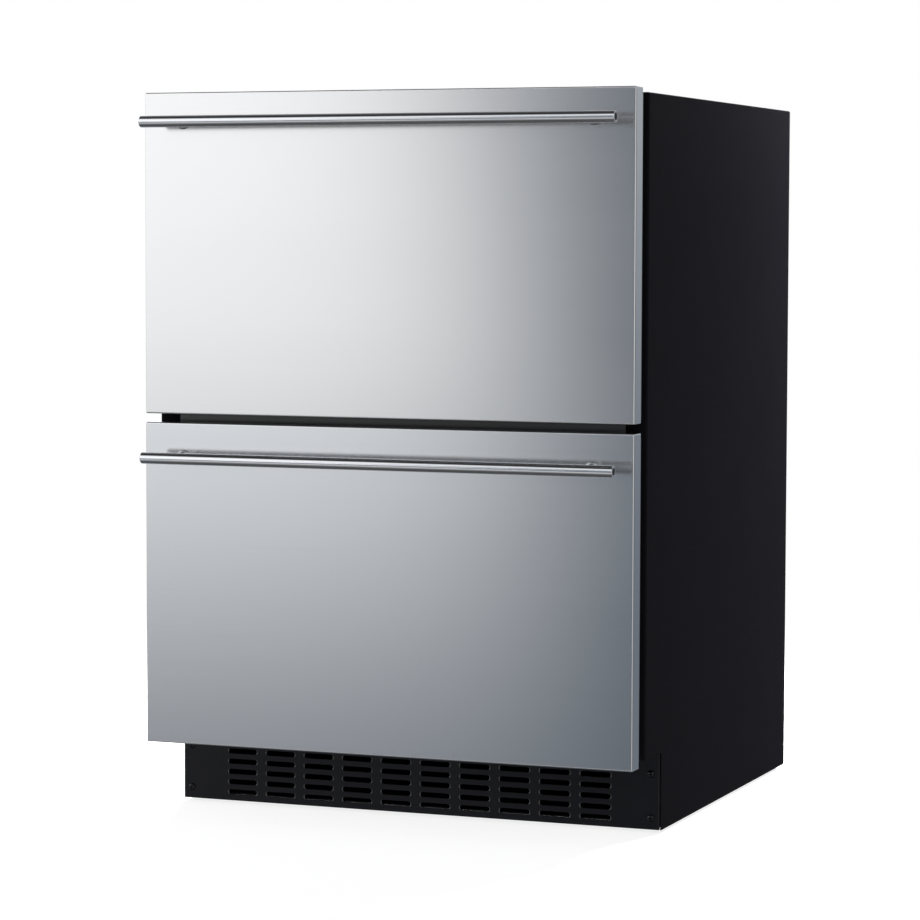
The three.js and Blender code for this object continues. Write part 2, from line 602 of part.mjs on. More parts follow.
// An open tub with its front wall on Y = 0 and its floor on Z = 0.
function bin(depth, height) {
  const centre = depth / 2;
  const outside = extruded(rectangle(2 * BIN_HALF, depth, BIN_CORNER_RADIUS), height);
  const inside = extruded(rectangle(
    2 * (BIN_HALF - BIN_WALL), depth - 2 * BIN_WALL, BIN_CORNER_RADIUS - BIN_WALL), height);
  return cut(outside.translate(0, centre, 0), inside.translate(0, centre, BIN_WALL));
}

// Three nested steel sections. They are drawn on the right, with Z = 0 on the slide's centre.
function slideSections() {
  const t = SLIDE_STEEL;
  const wall = LINER_HALF - GAP;
  const inner = BIN_HALF + GAP;
  const outerZ = SLIDE_HEIGHT / 2;
  const middleZ = outerZ - t - GAP;
  const innerZ = middleZ - t - GAP;
  const middle = (wall + inner) / 2;
  return {
    cabinet: [[wall, -outerZ], [wall, outerZ], [inner + 2 * t, outerZ], [inner + 2 * t, outerZ - t],
      [wall - t, outerZ - t], [wall - t, t - outerZ], [inner + 2 * t, t - outerZ],
      [inner + 2 * t, -outerZ]],
    middle: [[wall - t - GAP, -middleZ], [wall - t - GAP, t - middleZ], [middle + t / 2, t - middleZ],
      [middle + t / 2, middleZ - t], [wall - t - GAP, middleZ - t], [wall - t - GAP, middleZ],
      [inner + 2 * t, middleZ], [inner + 2 * t, middleZ - t], [middle - t / 2, middleZ - t],
      [middle - t / 2, t - middleZ], [inner + 2 * t, t - middleZ], [inner + 2 * t, -middleZ]],
    drawer: [[inner, -innerZ], [middle - t / 2 - GAP, -innerZ], [middle - t / 2 - GAP, t - innerZ],
      [inner + t, t - innerZ], [inner + t, innerZ - t], [middle - t / 2 - GAP, innerZ - t],
      [middle - t / 2 - GAP, innerZ], [inner, innerZ]],
  };
}

function slideRail(section, length, side) {
  const points = slideSections()[section].map(([x, z]) => [side * x, z]);
  return alongY(outline(points), SLIDE_START, length);
}

// ---- Fans: drawn along +Z, frame from z = 0 ----
function fanFrame(diameter) {
  const ring = rectangle(diameter + 2 * FAN_RIM, diameter + 2 * FAN_RIM, FAN_RIM);
  ring.holes.push(circlePath(0, 0, diameter, LARGE_ROUND));
  const frame = extruded(ring, FAN_DEPTH);
  const arms = [0, 1, 2].map((n) => box([0, diameter / 2 + FAN_RIM / 2], about(0, FAN_ARM_WIDTH),
    [0, FAN_ARM_THICKNESS]).rotateZ((2 * Math.PI * n) / 3 + Math.PI / 2));
  const motor = rod(FAN_HUB_DIAMETER, 0, FAN_MOTOR_DEPTH, MEDIUM_ROUND);
  const shaft = rod(FAN_SHAFT_DIAMETER, 0, FAN_MOTOR_DEPTH + FAN_SHAFT_LENGTH);
  return join(frame, ...arms, motor, shaft);
}

function fanBlade(diameter) {
  const start = FAN_MOTOR_DEPTH + 2 * GAP;
  const depth = FAN_DEPTH - start - GAP;
  const hub = rod(FAN_HUB_DIAMETER, start, depth, MEDIUM_ROUND);
  const reach = diameter / 2 - FAN_TIP_GAP;
  const blades = [];
  for (let n = 0; n < FAN_BLADES; n += 1) {
    const blade = box([FAN_HUB_DIAMETER / 2 - FAN_BLADE_ROOT, reach], about(0, FAN_BLADE_CHORD),
      about(0, FAN_BLADE_THICKNESS));
    blade.rotateX(FAN_BLADE_PITCH).translate(0, 0, start + depth / 2);
    blades.push(blade.rotateZ((2 * Math.PI * n) / FAN_BLADES));
  }
  const bore = rod(FAN_SHAFT_DIAMETER + 2 * GAP, start - PAST, FAN_SHAFT_LENGTH + PAST);
  return cut(join(hub, ...blades), bore);
}

// ---- Cooling system ----
// Its shell on a plate with four rubber feet, from z = 0.
function compressor() {
  const seamR = COMPRESSOR_DIAMETER / 2;
  const r = seamR - COMPRESSOR_SEAM_PROUD;
  const plateZ = MOUNT_FOOT_HEIGHT - MOUNT_PLATE_THICKNESS;
  const seam = MOUNT_FOOT_HEIGHT + COMPRESSOR_SEAM_HEIGHT;
  const [seamLow, seamHigh] = about(seam, COMPRESSOR_SEAM_WIDTH);
  const domeZ = MOUNT_FOOT_HEIGHT + COMPRESSOR_HEIGHT - COMPRESSOR_DOME;
  const points = [[0, plateZ + GAP], [COMPRESSOR_BASE_DIAMETER / 2, plateZ + GAP],
    [r, MOUNT_FOOT_HEIGHT + COMPRESSOR_BASE_SLOPE], [r, seamLow], [seamR, seamLow], [seamR, seamHigh]];
  for (let n = 0; n < COMPRESSOR_DOME_STEPS; n += 1) {
    const angle = ((Math.PI / 2) * n) / COMPRESSOR_DOME_STEPS;
    points.push([r * Math.cos(angle), domeZ + COMPRESSOR_DOME * Math.sin(angle)]);
  }
  points.push([0, domeZ + COMPRESSOR_DOME]);
  const plate = extruded(rectangle(MOUNT_PLATE_LENGTH, COMPRESSOR_DIAMETER, MOUNT_PLATE_RADIUS),
    MOUNT_PLATE_THICKNESS);
  const footX = MOUNT_PLATE_LENGTH / 2 - MOUNT_FOOT_INSET;
  const footY = COMPRESSOR_DIAMETER / 2 - MOUNT_FOOT_INSET;
  const feet = [-1, 1].flatMap((x) => [-1, 1].map((y) =>
    rod(MOUNT_FOOT_DIAMETER, 0, plateZ + PAST).translate(x * footX, y * footY, 0)));
  return join(turned(points, LARGE_ROUND), plate.translate(0, 0, plateZ), ...feet);
}

// Fins across the length, joined by square tube runs: drawn from x = 0 and z = 0, centred in Y.
function finPack([length, depth, height], fins) {
  const pitch = (length - FIN_THICKNESS) / (fins - 1);
  const parts = [];
  for (let n = 0; n < fins; n += 1) {
    parts.push(box(from(n * pitch, FIN_THICKNESS), span(depth / 2), [0, height]));
  }
  for (let n = 0; n < FIN_TUBES; n += 1) {
    const z = (height * (n + 0.5)) / FIN_TUBES;
    parts.push(box([0, length], span(TUBE_DIAMETER / 2), about(z, TUBE_DIAMETER)));
  }
  return join(...parts);
}

function tubePath(points) {
  const path = new THREE.CurvePath();
  let last = points[0];
  for (let n = 1; n < points.length - 1; n += 1) {
    const before = last.clone().sub(points[n]).setLength(TUBE_BEND).add(points[n]);
    const after = points[n + 1].clone().sub(points[n]).setLength(TUBE_BEND).add(points[n]);
    path.add(new THREE.LineCurve3(last, before));
    path.add(new THREE.QuadraticBezierCurve3(before, points[n], after));
    last = after;
  }
  path.add(new THREE.LineCurve3(last, points[points.length - 1]));
  return path;
}

// Hot gas tube: from the compressor's side, over the drain pan and the fan, onto the condenser.
function refrigerantLine() {
  const startX = COMPRESSOR_X - COMPRESSOR_DIAMETER / 2 - GAP;
  const startZ = MACHINE_FLOOR_Z + MOUNT_FOOT_HEIGHT + COMPRESSOR_SEAM_HEIGHT;
  const endZ = MACHINE_FLOOR_Z + CONDENSER_SIZE[2] + GAP;
  const topZ = endZ + TUBE_RISE;
  const y = MACHINE_CENTRE_Y;
  const path = tubePath([
    new THREE.Vector3(startX, y, startZ),
    new THREE.Vector3(startX - 2 * TUBE_BEND, y, startZ),
    new THREE.Vector3(startX - 2 * TUBE_BEND, y, topZ),
    new THREE.Vector3(CONDENSER_X, y, topZ),
    new THREE.Vector3(CONDENSER_X, y, endZ)]);
  const section = new THREE.Shape();
  section.absarc(0, 0, TUBE_DIAMETER / 2, 0, 2 * Math.PI);
  return new THREE.ExtrudeGeometry(section, {
    steps: TUBE_STEPS, curveSegments: TUBE_SIDES / 2, extrudePath: path });
}

// A tray between the fan and the compressor.
function drainPan() {
  const left = CONDENSER_FAN_X + FAN_DEPTH + DRAIN_PAN_SPACE[0];
  const right = COMPRESSOR_X - MOUNT_PLATE_LENGTH / 2 - DRAIN_PAN_SPACE[1];
  const width = right - left;
  const depth = DRAIN_PAN_DEPTH;
  const wall = DRAIN_PAN_WALL;
  const r = DRAIN_PAN_RADIUS;
  const tray = cut(extruded(rectangle(width, depth, r), DRAIN_PAN_HEIGHT), extruded(rectangle(
    width - 2 * wall, depth - 2 * wall, r - wall), DRAIN_PAN_HEIGHT).translate(0, 0, wall));
  return tray.translate((left + right) / 2, 0, 0);
}

// ---- Liner fittings ----
function evaporatorCover() {
  const bottom = HUMP_Z + COVER_FOOT;
  const top = LINER_TOP_Z - GAP;
  const centre = (bottom + top) / 2;
  const plate = rectangle(2 * (LINER_HALF - GAP), top - bottom, SHEET_CORNER_RADIUS);
  plate.holes.push(circlePath(0, EVAPORATOR_FAN_Z - centre, EVAPORATOR_FAN_DIAMETER, LARGE_ROUND));
  for (const x of spread(COVER_SLOTS, LINER_HALF - GAP, COVER_SLOT_END, COVER_SLOT_WIDTH)) {
    const z = bottom + COVER_SLOT_MARGIN;
    plate.holes.push(slotPath(x, z - centre, COVER_SLOT_WIDTH, COVER_SLOT_HEIGHT));
  }
  return alongY(plate, COVER_Y, LINER_WALL).translate(0, 0, centre);
}

function controlHousing() {
  const [width, depth, height] = CONTROL_SIZE;
  const body = box(span(width / 2), from(CONTROL_Y, depth), from(CONTROL_Z, height));
  const holes = buttonPlaces().map((x) => {
    const reach = BUTTON_LENGTH - BUTTON_PROUD + BUTTON_TRAVEL + GAP;
    const hole = rod(BUTTON_DIAMETER + 2 * GAP, -PAST, reach + PAST).rotateX(-Math.PI / 2);
    return hole.translate(x, CONTROL_Y, CONTROL_Z + height / 2);
  });
  return cut(body, ...holes);
}

function buttonPlaces() {
  return [0, 1, 2].map((n) => BUTTON_START + n * BUTTON_PITCH);
}

function button() {
  const r = BUTTON_DIAMETER / 2;
  const end = BUTTON_LENGTH - BUTTON_PROUD;
  return turned([[0, -BUTTON_PROUD], [r - BUTTON_CHAMFER, -BUTTON_PROUD],
    [r, BUTTON_CHAMFER - BUTTON_PROUD], [r, end], [0, end]], SMALL_ROUND).rotateX(-Math.PI / 2);
}

// ---- Back of the machine compartment ----
function rearCover() {
  const bottom = PAN_TOP_Z + GAP;
  const top = MACHINE_TOP_Z - GAP;
  const centre = (bottom + top) / 2;
  const plate = rectangle(2 * INSIDE_HALF, top - bottom, SHEET_CORNER_RADIUS);
  for (let row = 0; row < VENT_ROWS; row += 1) {
    for (const x of spread(VENT_COLUMNS, INSIDE_HALF, VENT_SIDE_MARGIN, VENT_LENGTH)) {
      const z = top - VENT_TOP_MARGIN - row * VENT_ROW_PITCH;
      plate.holes.push(slotPath(x, z - centre, VENT_LENGTH, VENT_HEIGHT));
    }
  }
  const cover = alongY(plate, REAR_SHEET_Y, CABINET_SHEET).translate(0, 0, centre);
  const window = box(about(INLET_X, INLET_WIDTH + 2 * GAP),
    [REAR_SHEET_Y - PAST, REAR_FACE_Y + PAST], about(INLET_Z, INLET_HEIGHT + 2 * GAP));
  return cut(cover, window);
}

function powerInlet() {
  const back = REAR_FACE_Y + GAP + INLET_FLANGE_THICKNESS;
  const body = box(about(INLET_X, INLET_WIDTH), [back - INLET_DEPTH, back],
    about(INLET_Z, INLET_HEIGHT));
  const flange = box(about(INLET_X, INLET_WIDTH + 2 * INLET_FLANGE),
    [back - INLET_FLANGE_THICKNESS, back], about(INLET_Z, INLET_HEIGHT + 2 * INLET_FLANGE));
  const socket = box(about(INLET_X, INLET_WIDTH - 2 * INLET_SOCKET_WALL),
    [back - INLET_SOCKET_DEPTH, back + PAST], about(INLET_Z, INLET_HEIGHT - 2 * INLET_SOCKET_WALL));
  const pins = INLET_PIN_RISE.map((rise, n) => box(about(INLET_X + (n - 1) * INLET_PIN_PITCH,
    INLET_PIN_WIDTH), [back - INLET_SOCKET_DEPTH - PAST, back - INLET_PIN_RECESS],
    about(INLET_Z + rise, INLET_PIN_HEIGHT)));
  return join(cut(join(body, flange), socket), ...pins);
}

// ---- Assembly ----
const refrigerator = new THREE.Group();
refrigerator.name = "undercounter_drawer_refrigerator";
const model = new THREE.Group();
const handleFront = -HANDLE_STANDOFF - HANDLE_DIAMETER / 2;
model.position.y = -(handleFront + BACK_Y) / 2;
refrigerator.add(model);

function add(parent, name, geometry, material, place = [0, 0, 0]) {
  const mesh = new THREE.Mesh(geometry, material.clone());
  mesh.name = name;
  mesh.position.set(...place);
  parent.add(mesh);
  return mesh;
}

function addCabinet() {
  add(model, "outer_cabinet", outerCabinet(), BLACK_PAINT);
  add(model, "back_panel", backPanel(), GALVANISED);
  add(model, "machine_partition", machinePartition(), BLACK_PAINT);
  add(model, "inner_liner", innerLiner(), WHITE_PLASTIC);
  add(model, "insulation", insulation(), FOAM);
  add(model, "centre_mullion", centreMullion(), MULLION_GREY);
  add(model, "rear_cover", rearCover(), GALVANISED);
  add(model, "power_inlet", powerInlet(), BLACK_PLASTIC);
}

function addToeSpace() {
  add(model, "base_pan", basePan(), BLACK_PAINT);
  add(model, "kick_plate", kickPlate(), BLACK_PAINT);
  for (const [side, x] of [["left", -SCREW_X], ["right", SCREW_X]]) {
    for (const [level, z] of [["lower", SCREW_Z[0]], ["upper", SCREW_Z[1]]]) {
      const screw = add(model, `kick_screw_${level}_${side}`, kickScrew(), SCREW_STEEL,
        [x, KICK_Y - GAP, z]);
      screw.rotation.x = -Math.PI / 2;
    }
  }
  for (const [side, x] of [["left", -FOOT_X], ["right", FOOT_X]]) {
    add(model, `levelling_foot_front_${side}`, levellingFoot(), RUBBER, [x, FOOT_Y[0], 0]);
    add(model, `levelling_foot_rear_${side}`, levellingFoot(), RUBBER, [x, FOOT_Y[1], 0]);
  }
}

function addDrawer(level, z, height, handleDrop, opening, binZ, binSize, slideLength) {
  add(model, `${level}_front_skin`, frontSkin(height), STAINLESS, [0, 0, z]);
  add(model, `${level}_inner_panel`, innerPanel(height), BLACK_PLASTIC, [0, 0, z]);
  add(model, `${level}_gasket`, gasket(...opening), RUBBER);
  const handleZ = z + height - handleDrop;
  add(model, `${level}_handle_bar`, handleBar(), HANDLE_STEEL, [0, 0, handleZ]);
  add(model, `${level}_bin`, bin(...binSize), BIN_PLASTIC, [0, GASKET_Y, binZ]);
  for (const [side, sign] of [["left", -1], ["right", 1]]) {
    add(model, `${level}_handle_post_${side}`, handlePost(), HANDLE_STEEL,
      [sign * (HANDLE_HALF - POST_INSET), 0, handleZ]);
    for (const section of ["cabinet", "middle", "drawer"]) {
      add(model, `${level}_slide_${section}_${side}`, slideRail(section, slideLength, sign),
        SLIDE_ZINC, [0, 0, binZ + SLIDE_OFFSET]);
    }
  }
}

function addMachine() {
  const y = MACHINE_CENTRE_Y;
  const z = MACHINE_FLOOR_Z;
  add(model, "compressor", compressor(), COMPRESSOR_BLACK, [COMPRESSOR_X, y, z]);
  const condenser = add(model, "condenser", finPack(CONDENSER_SIZE, CONDENSER_FINS), FIN_ALUMINIUM,
    [CONDENSER_X, y - CONDENSER_SIZE[0] / 2, z]);
  condenser.rotation.z = Math.PI / 2;
  add(model, "refrigerant_line", refrigerantLine(), COPPER);
  add(model, "drain_pan", drainPan(), BLACK_PLASTIC, [0, y, z]);
  const fanZ = z + CONDENSER_FAN_DIAMETER / 2 + FAN_RIM;
  for (const [name, geometry] of [
    ["condenser_fan_frame", fanFrame(CONDENSER_FAN_DIAMETER)],
    ["condenser_fan_blade", fanBlade(CONDENSER_FAN_DIAMETER)]]) {
    add(model, name, geometry, BLACK_PLASTIC, [CONDENSER_FAN_X, y, fanZ]).rotation.y = Math.PI / 2;
  }
}

function addLinerFittings() {
  const [length, depth, height] = EVAPORATOR_SIZE;
  const evaporatorZ = EVAPORATOR_FAN_Z - EVAPORATOR_FAN_DIAMETER / 2 - FAN_RIM - GAP - height;
  add(model, "evaporator", finPack(EVAPORATOR_SIZE, EVAPORATOR_FINS), FIN_ALUMINIUM,
    [-length / 2, LINER_BACK_Y - GAP - depth / 2, evaporatorZ]);
  add(model, "evaporator_cover", evaporatorCover(), WHITE_PLASTIC);
  for (const [name, geometry] of [
    ["evaporator_fan_frame", fanFrame(EVAPORATOR_FAN_DIAMETER)],
    ["evaporator_fan_blade", fanBlade(EVAPORATOR_FAN_DIAMETER)]]) {
    const place = [0, COVER_Y + LINER_WALL + GAP + FAN_DEPTH, EVAPORATOR_FAN_Z];
    add(model, name, geometry, BLACK_PLASTIC, place).rotation.x = Math.PI / 2;
  }
  add(model, "control_housing", controlHousing(), BLACK_PLASTIC);
  buttonPlaces().forEach((x, n) => {
    add(model, `control_button_${n + 1}`, button(), WHITE_PLASTIC,
      [x, CONTROL_Y, CONTROL_Z + CONTROL_SIZE[2] / 2]);
  });
  const lampY = CONTROL_Y + CONTROL_SIZE[1] + LAMP_SETBACK;
  add(model, "lamp", box(span(LAMP_SIZE[0] / 2), from(lampY, LAMP_SIZE[1]),
    [LINER_TOP_Z - GAP - LAMP_SIZE[2], LINER_TOP_Z - GAP]), LAMP_LENS);
}

addCabinet();
addToeSpace();
addDrawer("upper", UPPER_FRONT_Z, UPPER_FRONT_HEIGHT, UPPER_HANDLE_DROP,
  [MULLION_TOP_Z, OPENING_TOP_Z], UPPER_BIN_Z, [UPPER_BIN_DEPTH, UPPER_BIN_HEIGHT],
  UPPER_SLIDE_LENGTH);
addDrawer("lower", LOWER_FRONT_Z, LOWER_FRONT_HEIGHT, LOWER_HANDLE_DROP,
  [OPENING_BOTTOM_Z, MULLION_Z], LOWER_BIN_Z, [LOWER_BIN_DEPTH, LOWER_BIN_HEIGHT],
  LOWER_SLIDE_LENGTH);
addMachine();
addLinerFittings();

export default refrigerator;
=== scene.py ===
import json
import math

import bmesh
import bpy
from mathutils import Matrix, Vector


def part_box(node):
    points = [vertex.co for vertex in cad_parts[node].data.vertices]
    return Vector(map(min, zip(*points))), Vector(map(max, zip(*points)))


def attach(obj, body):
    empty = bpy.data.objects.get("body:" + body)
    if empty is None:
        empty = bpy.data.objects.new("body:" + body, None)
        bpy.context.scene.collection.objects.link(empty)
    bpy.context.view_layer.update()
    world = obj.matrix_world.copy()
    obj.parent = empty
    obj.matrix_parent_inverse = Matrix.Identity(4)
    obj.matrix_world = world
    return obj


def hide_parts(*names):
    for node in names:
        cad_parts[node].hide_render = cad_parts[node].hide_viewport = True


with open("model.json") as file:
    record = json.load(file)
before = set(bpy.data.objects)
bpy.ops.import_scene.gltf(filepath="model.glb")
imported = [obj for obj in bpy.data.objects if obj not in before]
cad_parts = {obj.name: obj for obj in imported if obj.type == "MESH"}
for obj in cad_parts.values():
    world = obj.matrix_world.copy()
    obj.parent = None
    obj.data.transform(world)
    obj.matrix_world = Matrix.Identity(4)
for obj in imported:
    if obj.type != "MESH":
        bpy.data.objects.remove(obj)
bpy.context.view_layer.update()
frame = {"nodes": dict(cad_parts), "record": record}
nodes = frame["nodes"]

MM = 0.001
RIGHT, BACK, UP = Vector((1, 0, 0)), Vector((0, 1, 0)), Vector((0, 0, 1))

# ---- Camera: fitted to the corners of the cabinet in the photograph ----
CAMERA_PLACE = Vector((1.430, -3.744, 0.675))
CAMERA_YAW = math.radians(21.15)
CAMERA_PITCH = math.radians(3.83)
CAMERA_ROLL = math.radians(0.17)
SENSOR = 36
IMAGE_SIDE = 920
FOCAL_PIXELS = 3309

# ---- Sizes of the finer shapes, in metres ----
FRONT_SHEET = 1.0 * MM  # stainless steel
BEND = 1.8 * MM  # outer radius of the steel fronts' folds
HEM = 1.05 * MM  # radius of the rolled rear edge of a front
CABINET_SHEET = 1.2 * MM
CABINET_BEND = 2.2 * MM
CABINET_EDGE = 0.175 * MM  # broken edge of the cut sheet
KICK_SHEET = 1.5 * MM
SLOT_SIZE = (36.5 * MM, 5.6 * MM)
SLOT_GRID = (10, 5, 49.3 * MM, 12.3 * MM)  # columns, rows and their pitches
SLOT_ROUND = 1.3 * MM  # rolled ends of a kick plate slot
SLOT_ROLL = 0.35  # the rolled long edges' share of that
FACE_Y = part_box("upper_front_skin")[0].y
FEET = [f"levelling_foot_{end}_{side}" for end in ("front", "rear") for side in ("left", "right")]


class Box:
    """A CAD node's corners, centre and half sizes."""

    def __init__(self, node):
        self.low, self.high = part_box(node)
        self.centre = (self.low + self.high) / 2
        self.half = (self.high - self.low) / 2


def mm(*points):
    """Points given in millimetres, in metres."""
    return [tuple(value * MM for value in point) for point in points]


def deep(distance):
    """Y at a distance in millimetres behind the face of the drawer fronts."""
    return FACE_Y + distance * MM


def moved(vector, axis, value):
    """The vector with another value on one axis."""
    made = Vector(vector)
    made[axis] = value
    return made


def facing(place, axis):
    """Moves what is drawn on the origin and Z to a place and an axis."""
    return Matrix.Translation(place) @ UP.rotation_difference(axis).to_matrix().to_4x4()


def quarter(steps):
    """Angles from 0 to a right angle."""
    return [math.pi / 2 * n / steps for n in range(steps + 1)]


# ---- Node trees ----
def math_node(operation, swapped=False):
    def apply(self, other):
        return self.math(operation, *((other, self) if swapped else (self, other)))
    return apply


class Socket:
    """The output of a node, which Python arithmetic turns into Math nodes."""

    def __init__(self, tree, output):
        self.tree = tree
        self.output = output

    def math(self, operation, *values):
        return self.tree.node("ShaderNodeMath", {"operation": operation}, dict(enumerate(values)))

    __add__ = math_node("ADD")
    __radd__ = math_node("ADD", True)
    __sub__ = math_node("SUBTRACT")
    __rsub__ = math_node("SUBTRACT", True)
    __mul__ = math_node("MULTIPLY")
    __rmul__ = math_node("MULTIPLY", True)
    at_least = math_node("MAXIMUM")

    def __neg__(self):
        return self * -1

    def __abs__(self):
        return self.math("ABSOLUTE", self)


class Tree:
    """A material's, the world's or a geometry modifier's nodes."""

    def __init__(self, tree):
        self.tree = tree

    def node(self, kind, settings, inputs, output=0):
        made = self.tree.nodes.new(kind)
        for name, value in settings.items():
            setattr(made, name, value)
        for key, value in inputs.items():
            self.feed(made.inputs[key], value)
        return Socket(self, made.outputs[output])

    def feed(self, socket, value):
        if isinstance(value, Socket):
            self.tree.links.new(value.output, socket)
        else:
            socket.default_value = (*value, 1) if socket.type == "RGBA" else value

    def smooth(self, value, low, high):
        """0 below low, 1 above high, and a smooth step between them."""
        return self.node("ShaderNodeMapRange", {"interpolation_type": "SMOOTHSTEP"},
                         {"Value": value, "From Min": low, "From Max": high})

    def mix_colour(self, factor, a, b):
        return self.node("ShaderNodeMix", {"data_type": "RGBA"}, {0: factor, 6: a, 7: b}, 2)

    def place(self, scale=(1, 1, 1)):
        """Object coordinates, stretched."""
        spot = self.node("ShaderNodeTexCoord", {}, {}, "Object")
        return self.node("ShaderNodeMapping", {}, {"Vector": spot, "Scale": scale})

    def noise(self, where, scale, detail=2, roughness=0.5):
        inputs = {"Vector": where, "Scale": scale, "Detail": detail, "Roughness": roughness}
        return self.node("ShaderNodeTexNoise", {}, inputs, "Fac")

    def cells(self, scale, output):
        inputs = {"Vector": self.place(), "Scale": scale}
        return self.node("ShaderNodeTexVoronoi", {"feature": "F1"}, inputs, output)

    def bump(self, height, depth, strength=0.5):
        return self.node("ShaderNodeBump", {}, {"Height": height, "Distance": depth, "Strength": strength})

    def glow(self, strength):
        return self.node("ShaderNodeEmission", {}, {"Color": (1, 1, 1), "Strength": strength})


def times(factor, colour):
    return tuple(factor * c for c in colour)


def material_maker(sockets):
    """Makes materials by a function that gives the shader's sockets: their values or what feeds them."""
    def make(name, *details):
        made = bpy.data.materials.new(name)
        made.use_nodes = True
        tree = Tree(made.node_tree)
        shader = made.node_tree.nodes["Principled BSDF"]
        for socket, value in sockets(tree, *details).items():
            tree.feed(shader.inputs[socket], value)
        return made
    return make


# ---- Finishes ----
@material_maker
def brushed_steel(tree, colour, roughness, spread, grain=(4, 900, 900)):
    """Stainless steel with its grain along X; light spreads across the grain."""
    fine = tree.noise(tree.place(grain), 1, 3, 0.6)
    broad = tree.noise(tree.place((1.2, 9, 9)), 1)
    shade = tree.mix_colour(tree.smooth(fine, 0.3, 0.7), times(0.972, colour), colour)
    return {"Metallic": 1, "Anisotropic": spread, "Anisotropic Rotation": 0.25,
            "Base Color": tree.mix_colour(broad * 0.06, shade, (0.5, 0.55, 0.62)),
            "Roughness": roughness + (fine - 0.5) * 0.025 + (broad - 0.5) * 0.02,
            "Normal": tree.bump(fine, 0.0000015)}


@material_maker
def painted_steel(tree, colour, roughness, specular, peel=0.00002):
    """Powder coat with a fine orange peel."""
    grain = tree.noise(tree.place(), 900)
    wave = tree.noise(tree.place(), 14)
    return {"Specular IOR Level": specular,
            "Base Color": tree.mix_colour(wave, colour, times(1.25, colour)),
            "Roughness": roughness + (grain - 0.5) * 0.12 + (wave - 0.5) * 0.05,
            "Normal": tree.bump(grain, peel, 0.6)}


@material_maker
def moulded_plastic(tree, colour, roughness, specular=0.5):
    """Fine-grained, with faint streaks of flow."""
    fine = tree.noise(tree.place(), 1600)
    flow = tree.noise(tree.place((6, 6, 20)), 1)
    return {"Specular IOR Level": specular,
            "Base Color": tree.mix_colour(flow, times(0.93, colour), colour),
            "Roughness": roughness + (fine - 0.5) * 0.08 + (flow - 0.5) * 0.06,
            "Normal": tree.bump(fine, 0.00001)}


@material_maker
def zinc_sheet(tree, colour, spangle):
    """Galvanised steel: crystals of slightly different grey."""
    crystals = tree.cells(spangle, "Color")
    tone = tree.node("ShaderNodeSeparateColor", {}, {"Color": crystals}, "Red")
    fine = tree.noise(tree.place(), 260, 3)
    return {"Metallic": 1,
            "Base Color": tree.mix_colour(tone * 0.7 + fine * 0.3, times(0.8, colour), colour),
            "Roughness": 0.38 + tone * 0.14 + (fine - 0.5) * 0.1,
            "Normal": tree.bump(tone * 0.6 + fine * 0.4, 0.000015, 0.4)}


@material_maker
def rubber(tree, colour):
    """Matt, with a little dust."""
    fine = tree.noise(tree.place(), 700, 3)
    dust = tree.noise(tree.place(), 30, 3)
    light = tuple(c + 0.02 for c in colour)
    return {"Specular IOR Level": 0.25,
            "Base Color": tree.mix_colour(tree.smooth(dust, 0.5, 0.8), colour, light),
            "Roughness": 0.72 + (fine - 0.5) * 0.2,
            "Normal": tree.bump(fine, 0.00003)}


@material_maker
def drawn_metal(tree, colour, roughness):
    """Copper, aluminium and dark steel, with a faint tarnish."""
    fine = tree.noise(tree.place((60, 500, 500)), 1, 3)
    stain = tree.noise(tree.place(), 22, 3)
    stained = tree.smooth(stain, 0.45, 0.8) * 0.5
    return {"Metallic": 1,
            "Base Color": tree.mix_colour(stained, colour, times(0.72, colour)),
            "Roughness": roughness + (fine - 0.5) * 0.1 + (stain - 0.5) * 0.12,
            "Normal": tree.bump(fine, 0.000006)}


@material_maker
def rigid_foam(tree, colour):
    """Small cells, darker in the middle: painted shade in each cell's hollow."""
    cell = tree.cells(420, "Distance")
    return {"Base Color": tree.mix_colour(cell, times(0.8, colour), colour),
            "Roughness": 0.9 + cell * 0.05,
            "Normal": tree.bump(cell, 0.0004, 0.6)}


